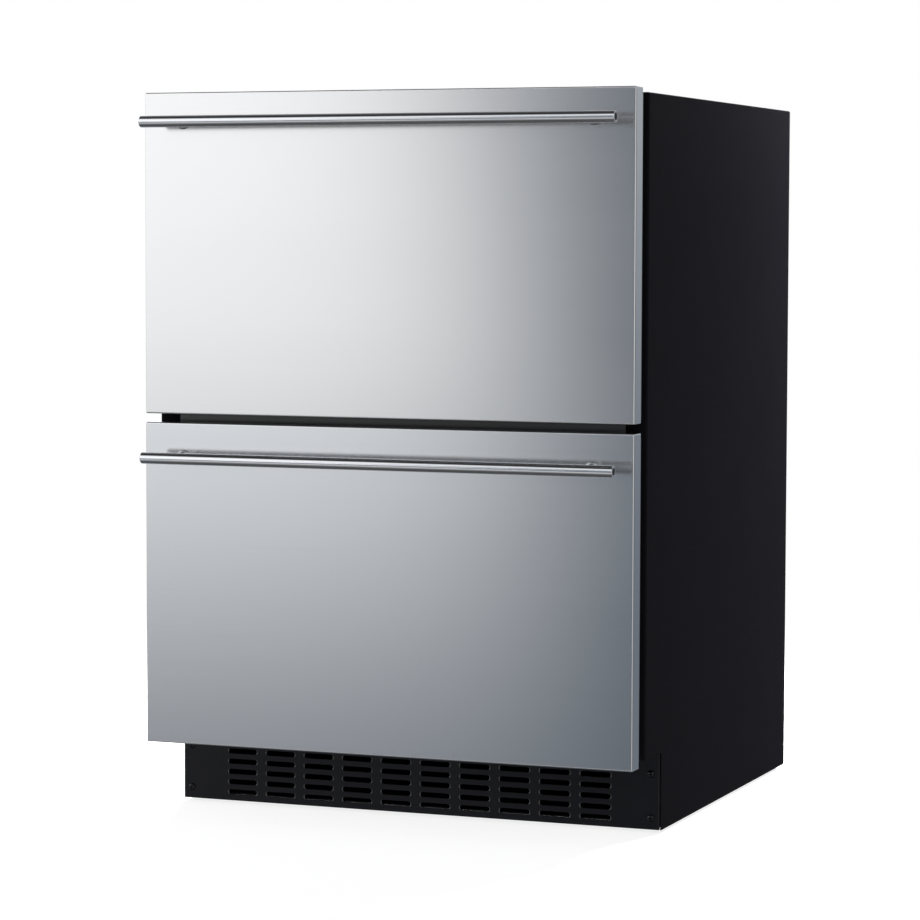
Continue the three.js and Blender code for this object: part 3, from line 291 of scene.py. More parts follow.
FINISHES = {
    "stainless_front": brushed_steel("front_steel", (0.675, 0.676, 0.681), 0.175, 0.3),
    # The lower drawer's front: the same steel made darker and cooler, a painted shade.
    "lower_front": brushed_steel("lower_front_steel", (0.64, 0.65, 0.665), 0.175, 0.3),
    "handle_steel": brushed_steel("handle_steel", (0.67, 0.685, 0.71), 0.17, 0.1, (5, 700, 700)),
    # The posts: the handle's steel made half as bright, a painted dark reflection.
    "handle_post": brushed_steel("handle_post_steel", (0.32, 0.33, 0.35), 0.3, 0.1, (700, 5, 700)),
    "black_paint": painted_steel("black_paint", (0.005, 0.0047, 0.0061), 0.5, 0.004),
    "black_plastic": moulded_plastic("black_plastic", (0.008, 0.008, 0.009), 0.5, 0.3),
    "galvanised_sheet": zinc_sheet("galvanised_steel", (0.6, 0.62, 0.64), 90),
    "slide_zinc": zinc_sheet("slide_zinc", (0.62, 0.64, 0.66), 400),
    "door_seal": rubber("door_seal", (0.006, 0.006, 0.0065)),
    "liner_plastic": moulded_plastic("liner_plastic", (0.78, 0.8, 0.82), 0.32),
    "bin_plastic": moulded_plastic("bin_plastic", (0.7, 0.73, 0.76), 0.25),
    "foam": rigid_foam("foam", (0.72, 0.6, 0.34)),
    "mullion_grey": moulded_plastic("mullion_grey", (0.028, 0.0285, 0.031), 0.25),
    "toe_black": painted_steel("toe_grille_black", (0.0062, 0.006, 0.0074), 0.16, 0.25, 0.000008),
    "slot_edge": painted_steel("slot_edge_enamel", (0.006, 0.006, 0.0072), 0.1, 1.0, 0.000004),
    "compressor_black": painted_steel("compressor_black", (0.012, 0.012, 0.013), 0.35, 0.5),
    "copper_tube": drawn_metal("copper", (0.79, 0.42, 0.27), 0.28),
    "fin_aluminium": drawn_metal("fin_aluminium", (0.74, 0.75, 0.77), 0.35),
    "lamp_lens": moulded_plastic("lamp_lens", (0.86, 0.88, 0.9), 0.2),
    "screw_steel": drawn_metal("screw_steel", (0.03, 0.03, 0.033), 0.12),
    "foot_plastic": rubber("foot_plastic", (0.012, 0.012, 0.013)),
    "button_white": moulded_plastic("button_white", (0.74, 0.76, 0.79), 0.35),
}


# ---- Meshes: a shape is a mesh or a bmesh ----
def solid(shape):
    """The shape as a mesh, a bmesh with its faces turned outwards."""
    if not isinstance(shape, bmesh.types.BMesh):
        return shape
    bmesh.ops.recalc_face_normals(shape, faces=shape.faces)
    mesh = bpy.data.meshes.new("solid")
    shape.to_mesh(mesh)
    shape.free()
    return mesh


def in_scene(name, data):
    """A new object of the scene."""
    made = bpy.data.objects.new(name, data)
    bpy.context.scene.collection.objects.link(made)
    return made


def plain(worker):
    """An object's mesh with its modifiers applied. The object is removed."""
    graph = bpy.context.evaluated_depsgraph_get()
    mesh = bpy.data.meshes.new_from_object(worker.evaluated_get(graph))
    bpy.data.objects.remove(worker)
    return mesh


def bake(shape, kind, settings):
    """The shape after a modifier."""
    worker = in_scene("worker", solid(shape))
    modifier = worker.modifiers.new(kind, kind)
    for name, value in settings.items():
        setattr(modifier, name, value)
    return plain(worker)


def add_piece(name, shape, slot, *replaced, body="cabinet", sharp=35, finish=None):
    """Puts a finished shape in the scene, riding on its body."""
    mesh = solid(shape)
    mesh.materials.clear()
    mesh.shade_smooth()
    mesh.set_sharp_from_angle(angle=math.radians(sharp))
    mesh = bake(mesh, "WEIGHTED_NORMAL", {"keep_sharp": True, "weight": 100})
    mesh.name = name
    mesh.materials.append(FINISHES[finish or slot])
    piece = in_scene(name, mesh)
    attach(piece, body)
    if replaced:
        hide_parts(*replaced)


def joined(*shapes):
    """One mesh of several, as separate shells."""
    bm = bmesh.new()
    for shape in shapes:
        bm.from_mesh(solid(shape))
    made = bpy.data.meshes.new("joined")
    bm.to_mesh(made)
    bm.free()
    return made


def cut(shape, *tools, operation="DIFFERENCE"):
    """The shape with each tool taken away, or added."""
    for tool in tools:
        helper = in_scene("tool", solid(tool))
        shape = bake(shape, "BOOLEAN", {"object": helper, "operation": operation, "solver": "EXACT"})
        bpy.data.objects.remove(helper)
    return shape


def softened(shape, width, segments=2, angle=40):
    """The shape with its sharp edges rounded."""
    return bake(shape, "BEVEL", {"width": width, "segments": segments, "angle_limit": math.radians(angle)})


def block(low, high, radius=0.0, segments=4):
    """A box from corner to corner with rounded edges."""
    bm = bmesh.new()
    bmesh.ops.create_cube(bm, size=1)
    for vertex in bm.verts:
        vertex.co = Vector((high[i] if vertex.co[i] > 0 else low[i] for i in range(3)))
    if radius:
        bmesh.ops.bevel(bm, geom=list(bm.edges), offset=radius, segments=segments, profile=0.5,
                        affect="EDGES", clamp_overlap=True)
    return bm


def join_rings(bm, rings, closed):
    """Faces between rings of vertices. A ring of one vertex is a pole."""
    for a, b in zip(rings, rings[1:] + rings[:closed]):
        count = max(len(a), len(b))
        for n in range(count if count > 1 else 0):
            m = (n + 1) % count
            corners = [a[n % len(a)], a[m % len(a)], b[m % len(b)], b[n % len(b)]]
            bm.faces.new(list(dict.fromkeys(corners)))


def revolve(profile, sides, centre=Vector(), axis=UP, closed=False):
    """A turned shape of (radius, distance along the axis) points."""
    bm = bmesh.new()
    turn = UP.rotation_difference(axis).to_matrix()
    rings = []
    for radius, along in profile:
        ring = []
        for n in range(sides if radius > 0 else 1):
            angle = 2 * math.pi * n / sides
            spot = Vector((radius * math.cos(angle), radius * math.sin(angle), along))
            ring.append(bm.verts.new(centre + turn @ spot))
        rings.append(ring)
    join_rings(bm, rings, closed)
    return bm


def rounded(points, radius, steps=5, closed=True):
    """A path with its corners rounded."""
    path = [Vector(point) for point in points]
    made = []
    for n, corner in enumerate(path):
        back = path[n - 1] - corner
        on = path[(n + 1) % len(path)] - corner
        angle = back.angle(on)
        turn = math.pi - angle
        if turn < 0.02 or not closed and n in (0, len(path) - 1):
            made.append(corner)
            continue
        reach = min(radius / math.tan(angle / 2), 0.49 * back.length, 0.49 * on.length)
        bend = reach * math.tan(angle / 2)
        inwards = (back.normalized() + on.normalized()).normalized()
        centre = corner + inwards * bend / math.sin(angle / 2)
        first = corner + back.normalized() * reach - centre
        last = corner + on.normalized() * reach - centre
        for k in range(steps + 1):
            t = k / steps
            spoke = first * math.sin((1 - t) * turn) + last * math.sin(t * turn)
            made.append(centre + spoke / math.sin(turn))
    return made


def rectangle(half_a, half_b, radius, steps=5, centre=(0, 0)):
    signs = ((-1, -1), (1, -1), (1, 1), (-1, 1))
    corners = [(centre[0] + a * half_a, centre[1] + b * half_b) for a, b in signs]
    return rounded(corners, radius, steps)


def bent_sheet(path, thickness, radius):
    """Outline of a sheet whose middle follows a path in a plane."""
    line = rounded(path, radius, closed=False)
    sides = ([], [])
    for n, point in enumerate(line):
        ahead = line[min(n + 1, len(line) - 1)] - line[max(n - 1, 0)]
        out = Vector((-ahead.y, ahead.x)).normalized() * thickness / 2
        sides[0].append(point + out)
        sides[1].append(point - out)
    return sides[0] + sides[1][::-1]


ALONG = {
    "X": lambda a, b, c: (c, a, b),
    "Y": lambda a, b, c: (a, c, b),
    "Z": lambda a, b, c: (a, b, c),
}


def loft(sections, axis, closed=False):
    """A skin over outlines of equally many points, each at its own place along an axis."""
    bm = bmesh.new()
    rings = [[bm.verts.new(ALONG[axis](a, b, at)) for a, b in outline] for outline, at in sections]
    join_rings(bm, rings, closed)
    if not closed:
        bm.faces.new(rings[0])
        bm.faces.new(rings[-1])
    return bm


def prism(outline, axis, start, end):
    """An outline drawn across an axis and pulled along it: in Y and Z, in X and Z, or in X and Y."""
    return loft([(outline, start), (outline, end)], axis)


def framed(box, sections, radius, steps, axis="Y", closed=False):
    """A skin over rounded rectangles: (inset from the box's sides, place along the axis) sections.

    radius(inset) is the radius of the corners."""
    b = 1 if axis == "Z" else 2
    centre = (box.centre.x, box.centre[b])
    outlines = [rectangle(box.half.x - inset, box.half[b] - inset, radius(inset), steps, centre)
                for inset, _ in sections]
    return loft([(outline, place) for outline, (_, place) in zip(outlines, sections)], axis, closed)


# ---- Repeated shapes ----
def geometry_tree(name, inputs, build):
    """A geometry tree with named inputs that ends in real geometry with a finish."""
    group = bpy.data.node_groups.new(name, "GeometryNodeTree")
    inputs = {"Geometry": "Geometry", **inputs, "Finish": "Material"}
    for label, kind in inputs.items():
        group.interface.new_socket(label, in_out="INPUT", socket_type=f"NodeSocket{kind}")
    group.interface.new_socket("Geometry", in_out="OUTPUT", socket_type="NodeSocketGeometry")
    tree = Tree(group)
    group_input = group.nodes.new("NodeGroupInput")
    given = {label: Socket(tree, group_input.outputs[label]) for label in inputs}
    real = tree.node("GeometryNodeRealizeInstances", {}, {"Geometry": build(tree, given)})
    painted = tree.node("GeometryNodeSetMaterial", {}, {"Geometry": real, "Material": given["Finish"]})
    tree.feed(group.nodes.new("NodeGroupOutput").inputs["Geometry"], painted)
    return group


def copies_at(tree, points, copy):
    shape = tree.node("GeometryNodeObjectInfo", {}, {"Object": copy}, "Geometry")
    return tree.node("GeometryNodeInstanceOnPoints", {}, {"Points": points, "Instance": shape})


def copies_on_grid(tree, given):
    """Copies of an object on an upright grid."""
    grid = tree.node("GeometryNodeMeshGrid", {}, {
        "Vertices X": given["Columns"], "Vertices Y": given["Rows"],
        "Size X": (given["Columns"] - 1) * given["Column pitch"],
        "Size Y": (given["Rows"] - 1) * given["Row pitch"]})
    upright = tree.node("GeometryNodeTransform", {}, {
        "Geometry": grid, "Translation": given["Centre"], "Rotation": (math.pi / 2, 0, 0)})
    return copies_at(tree, upright, given["Copy"])


def slots_in_plate(tree, given):
    """A plate with a grid of tools taken away."""
    tools = tree.node("GeometryNodeRealizeInstances", {}, {"Geometry": copies_on_grid(tree, given)})
    return tree.node("GeometryNodeMeshBoolean", {"operation": "DIFFERENCE", "solver": "EXACT"},
                     {"Mesh 1": given["Geometry"], "Mesh 2": tools}, "Mesh")


def copies_on_line(tree, given):
    line = tree.node("GeometryNodeMeshLine", {}, {
        "Count": given["Count"], "Start Location": given["Start"], "Offset": given["Step"]})
    return copies_at(tree, line, given["Copy"])


def tube_on_path(tree, given):
    path = tree.node("GeometryNodeMeshToCurve", {}, {"Mesh": given["Geometry"]})
    bent = tree.node("GeometryNodeFilletCurve", {"mode": "POLY"}, {
        "Curve": path, "Radius": given["Bend radius"], "Count": 8, "Limit Radius": True})
    section = tree.node("GeometryNodeCurvePrimitiveCircle", {}, {
        "Resolution": given["Sides"], "Radius": given["Diameter"] * 0.5})
    return tree.node("GeometryNodeCurveToMesh", {}, {
        "Curve": bent, "Profile Curve": section, "Fill Caps": True})


GRID_INPUTS = {"Copy": "Object", "Columns": "Int", "Rows": "Int", "Column pitch": "Float",
               "Row pitch": "Float", "Centre": "Vector"}
LINE_INPUTS = {"Copy": "Object", "Count": "Int", "Step": "Vector", "Start": "Vector"}
TUBE_INPUTS = {"Diameter": "Float", "Bend radius": "Float", "Sides": "Int"}
SLOTS_THROUGH = geometry_tree("slots_through_a_plate", GRID_INPUTS, slots_in_plate)
COPIES_ON_GRID = geometry_tree("copies_on_a_grid", GRID_INPUTS, copies_on_grid)
COPIES_ON_LINE = geometry_tree("copies_on_a_line", LINE_INPUTS, copies_on_line)
TUBE = geometry_tree("tube_along_a_path", TUBE_INPUTS, tube_on_path)


def grow(tree, base, finish, labels, values):
    """Runs a geometry tree on a mesh and gives the result as a plain mesh."""
    worker = in_scene("worker", base)
    modifier = worker.modifiers.new("grow", "NODES")
    modifier.node_group = tree
    chosen = {**dict(zip(labels, values)), "Finish": FINISHES[finish]}
    for item in tree.interface.items_tree:
        if item.name in chosen:
            modifier[item.identifier] = chosen[item.name]
    return plain(worker)


def grow_copies(tree, base, shape, finish, labels, values):
    copy = in_scene("copy", solid(shape))
    made = grow(tree, base, finish, labels, (copy, *values))
    bpy.data.objects.remove(copy)
    return made


def slots_through(plate, slot, grid, centre, finish):
    return grow_copies(SLOTS_THROUGH, plate, slot, finish, GRID_INPUTS, (*grid, Vector(centre)))


def on_a_grid(shape, grid, centre, finish):
    nothing = bpy.data.meshes.new("nothing")
    return grow_copies(COPIES_ON_GRID, nothing, shape, finish, GRID_INPUTS, (*grid, Vector(centre)))


def on_a_line(shape, count, step, start, finish):
    nothing = bpy.data.meshes.new("nothing")
    values = (count, Vector(step), Vector(start))
    return grow_copies(COPIES_ON_LINE, nothing, shape, finish, LINE_INPUTS, values)


def tube(points, diameter, bend, sides=12):
    """A copper tube through points, bent to a radius at each."""
    bm = bmesh.new()
    spots = [bm.verts.new(point) for point in points]
    for a, b in zip(spots, spots[1:]):
        bm.edges.new((a, b))
    path = bpy.data.meshes.new("path")
    bm.to_mesh(path)
    bm.free()
    made = bmesh.new()
    made.from_mesh(grow(TUBE, path, "copper_tube", TUBE_INPUTS, (diameter, bend, sides)))
    bmesh.ops.remove_doubles(made, verts=made.verts, dist=1e-6)
    return made


# ---- Screws ----
def screw(place, axis, radius, height):
    """Pan-head screw with a cross recess, its seat at a place and its head along an axis."""
    sunk = -0.4 * MM
    dome = [(0, sunk), (radius, sunk), (radius, 0.25 * height)]
    for n in range(1, 6):
        angle = math.radians(15 * n)
        dome.append((radius * math.cos(angle) ** 0.6, height * (0.25 + 0.75 * math.sin(angle))))
    dome.append((0, height))
    arm = (0.62 * radius, 0.13 * radius)
    crosses = [block((-a, -b, 0.45 * height), (a, b, 2 * height)) for a, b in (arm, arm[::-1])]
    made = cut(revolve(dome, 20), *crosses)
    made.transform(facing(place, axis))
    return made


def rear_screws(box, from_top, from_foot, count, pitch):
    """Two rows of screws in the rear of a sheet."""
    rows = []
    for z in (box.low.z + from_foot, box.high.z - from_top):
        head = screw(Vector((0, box.high.y, z)), BACK, 4 * MM, 2 * MM)
        start = -pitch * (count - 1) / 2
        rows.append(on_a_line(head, count, (pitch, 0, 0), (start, 0, 0), "galvanised_sheet"))
    return joined(*rows)


def kick_screw(level, side):
    node = f"kick_screw_{level}_{side}"
    box = Box(node)
    seat = moved(box.centre, 1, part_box("kick_plate")[0].y)
    head = screw(seat, -BACK, 4.25 * MM, seat.y - box.low.y)
    shank = revolve(mm((0, -0.2), (1.9, -0.2), (1.9, 11), (0.4, 12.5), (0, 12.5)), 14, seat, BACK)
    add_piece(f"toe_screw_{level}_{side}", joined(head, shank), "screw_steel", node)


# ---- Drawers ----
def front_skin(level):
    """A steel tray: face, rounded folds and returns, open at the back, with a rolled rear edge."""
    box = Box(f"{level}_front_skin")
    back = box.high.y
    shell = block(box.low, (box.high.x, back + 4 * BEND, box.high.z), BEND, 6)
    bmesh.ops.bisect_plane(shell, geom=shell.verts[:] + shell.edges[:] + shell.faces[:],
                           plane_co=(0, back - HEM, 0), plane_no=BACK, clear_outer=True)
    tray = bake(shell, "SOLIDIFY", {"thickness": FRONT_SHEET, "offset": -1, "use_even_offset": True})
    bead = []
    for n in range(12):
        angle = 2 * math.pi * n / 12
        bead.append((HEM * (1 - math.cos(angle)), back - HEM + HEM * math.sin(angle)))
    hem = framed(box, bead, lambda inset: max(BEND - inset, 0.1 * MM), 3, closed=True)
    # The lower front takes a darker, cooler copy of the same steel: painted shade.
    finish = "lower_front" if level == "lower" else "stainless_front"
    add_piece(f"{level}_front", joined(tray, hem), "stainless_front", f"{level}_front_skin",
              body=f"{level}_drawer", finish=finish)


def handle_bar(level):
    """A bar with rounded edges, and a dark plug set into each of its ends."""
    box = Box(f"{level}_handle_bar")
    radius, tip, edge = box.half.z / MM, box.half.x / MM, 1.5
    bore = radius - 1.5 * edge
    end = [(0, tip - 2.4), (bore, tip - 2.4), (bore, tip - 0.3), (radius - 1.3 * edge, tip - 0.1)]
    for n in range(5):
        angle = math.radians(20 + 17.5 * n)
        end.append((radius - edge * (1 - math.sin(angle)), tip - 0.1 - edge * (1 - math.cos(angle))))
    profile = mm(*end, *[(r, -x) for r, x in reversed(end)])
    add_piece(f"{level}_handle", revolve(profile, 64, box.centre, RIGHT), "handle_steel",
              f"{level}_handle_bar", body=f"{level}_drawer", sharp=50)
    fit = radius - 1.55 * edge
    plug = mm((0, tip - 2.6), (fit, tip - 2.6), (fit, tip - 1.1), (radius - 2 * edge, tip - 0.6),
              (0.4 * radius, tip - 0.2), (0, tip - 0.1))
    plugs = [revolve([(r, side * x) for r, x in plug], 40, box.centre, RIGHT) for side in (1, -1)]
    add_piece(f"{level}_handle_plugs", joined(*plugs), "handle_steel", body=f"{level}_drawer",
              finish="black_plastic")


def handle_post(level, side):
    """A turned post with a round foot, cut to fit round the bar."""
    node = f"{level}_handle_post_{side}"
    box, bar = Box(node), Box(f"{level}_handle_bar")
    foot, neck, length = box.half.x / MM, 5, 20
    seat = moved(box.centre, 1, box.high.y)
    post = revolve(mm((0, 0), (foot - 0.3, 0), (foot, 0.3), (foot, 1.9), (foot - 0.6, 2.5), (neck + 1.6, 2.7),
                      (neck + 0.5, 3.3), (neck, 4.6), (neck, length)), 40, seat, -BACK)
    ring = [v for v in post.verts if abs(v.co.y - (seat.y - length * MM)) < 1e-6]
    for vertex in ring:
        up = vertex.co.z - seat.z
        vertex.co.y = bar.centre.y + math.sqrt(bar.half.z ** 2 - up ** 2) + 0.05 * MM
    bmesh.ops.contextual_create(post, geom=ring)
    # The post's finish is a darker copy of the bar's steel: painted dark reflection.
    add_piece(f"{level}_post_{side}", post, "handle_steel", node, body=f"{level}_drawer",
              finish="handle_post")


# Steps of the inner door's rear: (inset from its CAD box, distance before its rear face), in mm.
INNER_DOOR = [(1.2, 3), (1.6, 1.2), (2.4, 0.4), (4.2, 0), (17.2, 0), (17.7, 0.3), (18.2, 2.2), (21.2, 2.2),
              (21.7, 0.3), (22.2, 0), (45.2, 0), (47.2, 0.5), (49.2, 1.5)]


def inner_panel(level):
    """Moulded inner door: a block behind the steel with a channel for the seal."""
    node = f"{level}_inner_panel"
    box = Box(node)
    sections = [(1.2 * MM, box.low.y)]
    sections += [(inset * MM, box.high.y - before * MM) for inset, before in INNER_DOOR]
    panel = framed(box, sections, lambda inset: max(6.2 * MM - inset, 2 * MM), 5)
    add_piece(f"{level}_inner_door", panel, "black_plastic", node, body=f"{level}_drawer")


# Section of the seal: (outwards from the ring's inner edge, back from the inner door), in mm.
SEAL = [(0.5, 7.4), (13.5, 7.4), (14, 6.9), (14, 5.7), (13.2, 5.1), (11.2, 4.9), (11, 4.3), (12.7, 3.8),
        (13.4, 3.0), (12.7, 2.2), (10.4, 1.8), (10.2, 0), (3, 0), (2.8, 1.6), (1.1, 2.2), (0.5, 3.0),
        (1.1, 3.8), (2.8, 4.4), (2.6, 4.9), (0.8, 5.1), (0, 5.7), (0, 6.9)]
SEAL_WIDTH, SEAL_CORNER = 14 * MM, 16 * MM


def seal(level):
    """Magnetic seal with a bellows, all round the opening."""
    box = Box(f"{level}_gasket")
    sections = [(SEAL_WIDTH - out * MM, box.low.y + back * MM) for out, back in SEAL]
    ring = framed(box, sections, lambda inset: SEAL_CORNER - inset, 6, closed=True)
    add_piece(f"{level}_seal", ring, "door_seal", f"{level}_gasket", body=f"{level}_drawer")


def tub(box, wall, corner, bend, rim):
    """A moulded tub, its sizes in mm: walls rounded into the floor, a thick rim with a groove under it."""
    floor, top = box.low.z / MM, box.high.z / MM
    inner = bend - 0.3 * wall
    profile = [(bend * (1 - math.sin(a)), floor + bend * (1 - math.cos(a))) for a in quarter(5)]
    profile += [(0, top - rim - 2), (0.8, top - rim - 1.4), (0.8, top - rim - 0.6), (0, top - rim),
                (0, top - 1.2), (0.4, top - 0.4), (1.2, top), (wall - 0.4, top), (wall + 0.4, top - 0.6),
                (wall + 0.5, top - rim)]
    profile += [(wall + 0.5 + inner * (1 - math.sin(a)), floor + wall + inner * (1 - math.cos(a)))
                for a in reversed(quarter(5))]
    return framed(box, mm(*profile), lambda inset: max(corner * MM - inset, 1.5 * MM), 6, "Z")


def bin_tub(level):
    """White tub with raised runners across its floor."""
    box = Box(f"{level}_bin")
    end, half, pitch = 26 * MM, 3 * MM, 62 * MM
    runner = block((-half, box.low.y + end, 0), (half, box.high.y - end, 2.4 * MM), 1.1 * MM, 3)
    runners = on_a_line(runner, 7, (pitch, 0, 0), (-3 * pitch, 0, box.low.z + 2 * MM), "bin_plastic")
    add_piece(f"{level}_tub", joined(tub(box, 3, 14, 12, 14), runners), "bin_plastic", f"{level}_bin",
              body=f"{level}_drawer")


# C-shaped rails of the nested slides on the right: X of the lips and of the web, half height of the
# sheet's middle and its thickness, in mm.
SLIDE_RAILS = {
    "cabinet": [(252.8, 262.95, 21.75, 1.4)],
    "middle": [(262.175, 256.875, 19.95, 0.75), (252.025, 256.125, 19.95, 0.75)],
    "drawer": [(255.3, 250.05, 18.15, 1.4)],
}
SLIDE_SCREWS = {"cabinet": (262.2, -1), "drawer": (250.8, 1)}  # X of the seat in mm, the side it faces


def slide(level, side):
    """Three nested sections with rolled edges, and screws in the outer and the inner one."""
    sign = 1 if side == "right" else -1
    bodies = {"cabinet": "cabinet", "middle": f"{level}_slide_middle_{side}", "drawer": f"{level}_drawer"}
    for section, body in bodies.items():
        node = f"{level}_slide_{section}_{side}"
        box = Box(node)
        parts = []
        for lip, web, reach, thickness in SLIDE_RAILS[section]:
            path = [(sign * x * MM, box.centre.z + z * MM)
                    for x, z in ((lip, reach), (web, reach), (web, -reach), (lip, -reach))]
            sheet = bent_sheet(path, thickness * MM, 1.6 * MM)
            parts.append(softened(prism(sheet, "Y", box.low.y, box.high.y), 0.2 * MM))
        if section in SLIDE_SCREWS:
            seat, faced = SLIDE_SCREWS[section]
            place = Vector((sign * seat * MM, 0, box.centre.z))
            head = screw(place, sign * faced * RIGHT, 4 * MM, 1.9 * MM)
            count, end = 4, 30 * MM
            step = 2 * (box.half.y - end) / (count - 1)
            parts.append(on_a_line(head, count, (0, step, 0), (0, box.low.y + end, 0), "slide_zinc"))
        add_piece(f"{level}_{section}_slide_{side}", joined(*parts), "slide_zinc", node, body=body)


# ---- Cabinet ----
def cabinet_shell():
    """Folded sheet: top and sides, a flange round the front opening and a toe notch."""
    low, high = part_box("outer_cabinet")
    notch_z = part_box("machine_partition")[0].z
    notch_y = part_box("kick_plate")[0].y + 3 * MM
    flange = 25 * MM
    past = Vector((0.1, 0.1, 0.1))  # how far the cutting blocks reach past the sheet
    below, above = low - past, high + past
    shell = block((low.x, low.y, low.z - 0.05), (high.x, high.y + 0.05, high.z), CABINET_BEND, 6)
    cutters = [
        block((low.x + CABINET_SHEET, low.y + CABINET_SHEET, below.z),
              (high.x - CABINET_SHEET, above.y, high.z - CABINET_SHEET), CABINET_BEND / 2, 3),
        block((below.x, high.y, below.z), above),
        block(below, (above.x, above.y, low.z)),
        block(below, (above.x, notch_y, notch_z)),
        block((low.x + flange, below.y, below.z), (high.x - flange, low.y + 0.01, high.z - flange)),
    ]
    mesh = softened(cut(shell, *cutters), CABINET_EDGE, 1, 60)
    add_piece("cabinet_shell", mesh, "black_paint", "outer_cabinet")


def back_panel():
    """Sheet whose middle is pressed in, with rounded shoulders, and its screws."""
    box = Box("back_panel")
    front, rear = box.low.y / MM, box.high.y / MM
    margin, depth = 34, 1.1
    profile = mm((margin + 6, front - depth), (0.2, front - depth), (0, front - depth + 0.2), (0, rear - 0.2),
                 (0.2, rear), (margin, rear), (margin + 1, rear - 0.15 * depth),
                 (margin + 3, rear - 0.85 * depth), (margin + 4, rear - depth))
    sheet = framed(box, profile, lambda inset: (1 if inset < margin * MM / 2 else 26) * MM, 6)
    screws = rear_screws(box, 12 * MM, 12 * MM, 5, 140 * MM)
    add_piece("back_sheet", joined(sheet, screws), "galvanised_sheet", "back_panel")


def rear_cover():
    """Sheet with a pattern of pressed louvres and a window for the inlet."""
    box = Box("rear_cover")
    margin = Vector((4 * MM, 0, 4 * MM))
    inlet_low, inlet_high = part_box("power_inlet")
    window = block(moved(inlet_low + margin, 1, box.low.y - 0.01),
                   moved(inlet_high - margin, 1, box.high.y + 0.01))
    length, height, rows, row_pitch = 70 * MM, 6 * MM, 6, 16 * MM
    grid = (4, rows, 95 * MM, row_pitch)
    top_row = box.high.z - 45 * MM
    middle = top_row - row_pitch * (rows - 1) / 2
    slot = prism(stadium(length, height), "Y", -3 * MM, 3 * MM)
    sheet = solid(block(box.low, box.high, 0.3 * MM, 2))
    vented = slots_through(cut(sheet, window), slot, grid, (0, box.centre.y, middle), "galvanised_sheet")
    hood_path = mm((0, 4), (1.6, 3.2), (2.5, 1.2), (2.6, -2.2))
    hood = prism(bent_sheet(hood_path, 0.5 * MM, 1.5 * MM), "X", -length / 2, length / 2)
    hoods = on_a_grid(hood, grid, (0, box.high.y - 0.2 * MM, middle), "galvanised_sheet")
    screws = rear_screws(box, 10 * MM, 8 * MM, 4, 186 * MM)
    add_piece("rear_vent_cover", joined(vented, hoods, screws), "galvanised_sheet", "rear_cover")


def power_inlet():
    """Flanged socket with three flat pins and two cut corners."""
    box = Box("power_inlet")
    rear = box.high.y
    sections = [(4 * MM, box.low.y), (4 * MM, rear - 2 * MM), (0, rear - 2 * MM), (0, rear - 0.6 * MM),
                (0.6 * MM, rear)]
    body = framed(box, sections, lambda inset: max(3 * MM - inset, 2 * MM), 4)
    rim, corner, depth = 6.5 * MM, 4 * MM, 14 * MM
    wide, high = box.half.x - rim, box.half.z - rim
    mouth = [(-wide, -high), (wide, -high), (wide, high - corner), (wide - corner, high),
             (corner - wide, high), (-wide, high - corner)]
    mouth = [(x + box.centre.x, z + box.centre.z) for x, z in mouth]
    socket = cut(body, prism(rounded(mouth, 1 * MM, 3), "Y", rear - depth, rear + 0.01))
    pins = []
    for across, rise in mm((-7, 1), (0, -2), (7, 1)):
        foot = Vector((box.centre.x + across, rear - depth, box.centre.z + rise))
        pin = block(foot - Vector((1, 1, 2)) * MM, foot + Vector((1, 12.5, 2)) * MM, 0.6 * MM, 3)
        pins.append(pin)
    add_piece("power_socket", socket, "black_plastic", "power_inlet", sharp=30)
    add_piece("power_pins", joined(*pins), "screw_steel")


def mullion():
    """Cross bar between the drawers: a face plate with rounded edges on an insulated bar."""
    low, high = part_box("centre_mullion")
    bar_low, bar_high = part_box("evaporator_cover")
    plate = block(low, (high.x, low.y + 1.2 * MM, high.z), 0.5 * MM, 3)
    bar = block((bar_low.x, low.y + 0.6 * MM, low.z), (bar_high.x, high.y, high.z), 5 * MM, 6)
    add_piece("cross_bar", joined(plate, bar), "mullion_grey", "centre_mullion")


def liner():
    """Vacuum-formed liner with rounded corners, a step over the machinery and a front flange."""
    low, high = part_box("inner_liner")
    flange, wall = 26 * MM, 2 * MM
    step, step_y = 330 * MM, deep(430)
    floor, ceiling, half = low.z + flange, high.z - flange, high.x - flange

    def side_view(front, grown):
        rear, ledge = high.y - wall + grown, step_y + grown
        return [(front, floor - grown), (ledge, floor - grown), (ledge, step - grown), (rear, step - grown),
                (rear, ceiling + grown), (front, ceiling + grown)]

    shell = prism(side_view(low.y, wall), "X", -half - wall, half + wall)
    rim = block(low, (high.x, low.y + wall, high.z), 0.5 * MM, 2)
    hollow = softened(prism(side_view(low.y - 0.05, 0), "X", -half, half), 12 * MM, 5)
    add_piece("liner", cut(cut(shell, rim, operation="UNION"), hollow), "liner_plastic", "inner_liner")


def base_pan():
    """Tray of black sheet with upturned sides, two front tabs and stiffening beads."""
    box = Box("base_pan")
    sheet, wall, tab = 1.5 * MM, 20 * MM, 27 * MM
    half, z = box.high.x - sheet / 2, box.low.z + sheet / 2
    path = [(-half, box.low.z + wall), (-half, z), (half, z), (half, box.low.z + wall)]
    tray = prism(bent_sheet(path, sheet, 2.5 * MM), "Y", box.low.y + sheet / 2, box.high.y)
    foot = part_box("kick_plate")[0].z + 0.5 * MM
    tabs = [block((x, box.low.y, foot), (x + tab, box.low.y + sheet, box.high.z), 0.4 * MM, 2)
            for x in (-box.high.x, box.high.x - tab)]
    drill = mm((0, 0), (5.3, 0), (5.3, 10), (0, 10))
    holes = [revolve(drill, 24, moved(Box(node).centre, 2, z - 5 * MM)) for node in FEET]
    bead = block(*mm((-225, -3, 0), (225, 3, 1.6)), 1.2 * MM, 3)
    start = (0, deep(200), box.low.z + sheet - 0.4 * MM)
    beads = on_a_line(bead, 5, (0, 75 * MM, 0), start, "black_paint")
    add_piece("machine_base", joined(softened(cut(tray, *holes), 0.2 * MM), *tabs, beads), "black_paint",
              "base_pan")


